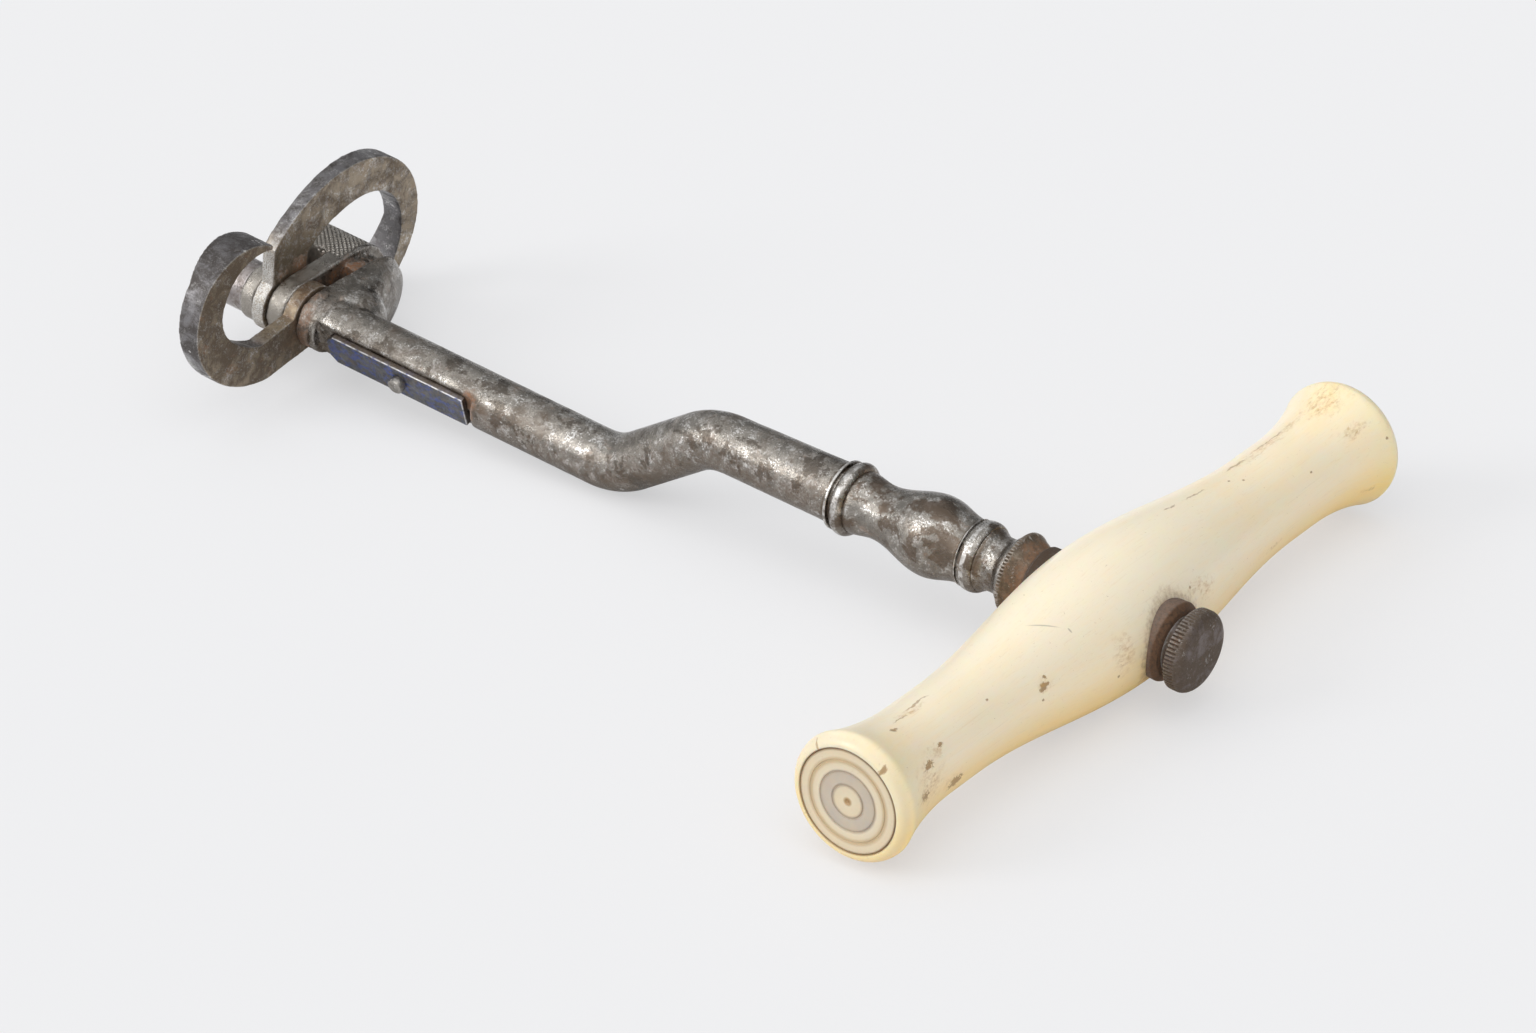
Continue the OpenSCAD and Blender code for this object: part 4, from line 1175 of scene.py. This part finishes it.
class OBJECT_OT_key_catch(Operator):
    """Shapes the blued catch spring and its stud"""

    bl_idname = "object.key_catch"
    bl_label = "Catch"
    bl_options = {"REGISTER", "UNDO"}

    def execute(self, context):
        place = placed(ARM_FRAME, (0, 0, 0), SPRING_TURN, "X")
        spring = self.spring_blank()
        set_in(spring, place)

        def temper_shade_and_highlight(look):
            tones = look.tones
            look.colour = look.mix(
                look.patches(0.4, 0.62, 0.6, 5, 0.65, 0.5), (0.05, 0.053, 0.062), (0.11, 0.113, 0.12))
            vivid = look.rise(look.noise(look.stretched(0.7, 1, 1), 1.2, 5, 0.72, 0.3), 0.48, 0.6)
            look.paint(vivid, tones.blue, 0.85)
            brown = look.rise(look.noise(look.stretched(0.6, 1, 1), 1.3, 5, 0.72), 0.52, 0.62)
            look.paint(brown, (0.13, 0.095, 0.065), 0.75)
            look.paint(look.old["Fleck"], (0.3, 0.3, 0.31), 0.3)
            turned_back = {"Vector": look.place, "Rotation": (math.radians(-SPRING_TURN), 0, 0)}
            x, y, z = look.parts(look.add("ShaderNodeMapping", turned_back).outputs[0])
            # Painted shade: dark brown over the leaf's narrow sides and back, all but its outer face
            side_shade = look.rise(y, -2.95, -2.8)
            look.paint(side_shade, tones.brown, 0.85)
            # Painted highlight: a thin, broken bright line along the top edge and the end towards the bend of
            # the outer face
            rim = look.calc("MAXIMUM", look.rise(z, 2.1, 2.2), look.rise(x, -21.5, -21.38))
            rim = look.times(look.times(rim, look.minus(1.0, side_shade)), look.patches(0.35, 0.55, 1.3, 4, 0.6))
            look.paint(rim, tones.bright, 0.8)

        look = steel_look(
            "key blued spring", ARM_FRAME, cloud=0.3, speckle=3.0, patina=0.3, fleck=0.3, shine=0.4,
            relief=0.05, edge=0.3, extra=temper_shade_and_highlight)
        finish_piece(spring, look, "catch_body", "blued_steel", "catch_spring", angle=35)

        head = SPRING_SEAT + SPRING_THICK
        stud = turned("catch_stud_turned", [
            (0.0, head - 0.3), (0.85, head - 0.3), (1.0, head), (1.08, head + 0.2), (1.08, head + 0.75),
            (1.0, head + 0.98), (0.8, head + 1.12), (0.45, head + 1.18), (0.0, head + 1.2)],
            placed(place, (-STUD_AT, 0, 0), 90, "X"), 48)
        look = steel_look(
            "key stud steel", ARM_FRAME, cloud=0.6, speckle=3.2, patina=0.55, fleck=0.6, rust_level=0.3,
            shine=0.3)
        finish_piece(stud, look, "catch_body", "steel", "catch_stud", angle=35)
        return {"FINISHED"}

    def spring_blank(self):
        """The leaf of the spring in millimetres, with two cut corners at its far end and rounded edges."""
        spring = new_primitive(
            "catch_spring_blued", bpy.ops.mesh.primitive_cube_add, size=1,
            location=(-SPRING_START - SPRING_L / 2, -SPRING_SEAT - SPRING_THICK / 2, 0))
        spring.scale = (SPRING_L, SPRING_THICK, SPRING_W)
        bpy.ops.object.transform_apply(location=True, rotation=True, scale=True)
        bpy.ops.object.mode_set(mode="EDIT")
        bpy.ops.mesh.select_all(action="DESELECT")
        bpy.ops.mesh.select_mode(type="EDGE")
        close_edit()
        slack = 0.01
        for edge in spring.data.edges:
            ends = [spring.data.vertices[i].co for i in edge.vertices]
            at_far_end = all(end.x < -SPRING_START - SPRING_L + slack for end in ends)
            edge.select = at_far_end and abs(ends[0].z - ends[1].z) < slack
        bpy.ops.object.mode_set(mode="EDIT")
        bpy.ops.mesh.bevel(offset=1.0, segments=1, affect="EDGES")
        bpy.ops.mesh.select_all(action="SELECT")
        bpy.ops.mesh.normals_make_consistent(inside=False)
        close_edit()
        modify(spring, "rounded edges", "BEVEL", width=0.12, segments=3, limit_method="ANGLE")
        apply_all(spring)
        return spring


OPERATORS = (
    OBJECT_OT_key_stage, OBJECT_OT_key_handle, OBJECT_OT_key_fixing, OBJECT_OT_key_shank,
    OBJECT_OT_key_bolster, OBJECT_OT_key_claws, OBJECT_OT_key_pin, OBJECT_OT_key_catch,
)
SETTINGS = (("key_stage", StageSettings), ("key_ivory", IvorySettings), ("key_steel", SteelSettings))


class VIEW3D_PT_key(Panel):
    """Lists the pieces of the key in the order in which they are made"""

    bl_idname = "VIEW3D_PT_key"
    bl_label = "Dental key"
    bl_space_type = "VIEW_3D"
    bl_region_type = "UI"
    bl_category = "Dental key"

    def draw(self, context):
        for operator in OPERATORS:
            self.layout.operator(operator.bl_idname)
        for name, kind in SETTINGS:
            box = self.layout.box()
            for label in kind.__annotations__:
                box.prop(getattr(context.scene, name), label)


CLASSES = (*(kind for _, kind in SETTINGS), *OPERATORS, VIEW3D_PT_key)


def register():
    for kind in CLASSES:
        bpy.utils.register_class(kind)
    for name, kind in SETTINGS:
        setattr(bpy.types.Scene, name, PointerProperty(type=kind))


def unregister():
    for name, _ in SETTINGS:
        delattr(bpy.types.Scene, name)
    for kind in reversed(CLASSES):
        bpy.utils.unregister_class(kind)


def main():
    """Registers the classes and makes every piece."""
    register()
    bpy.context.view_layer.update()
    for operator in OPERATORS:
        area, name = operator.bl_idname.split(".")
        getattr(getattr(bpy.ops, area), name)()


if __name__ == "__main__":
    main()
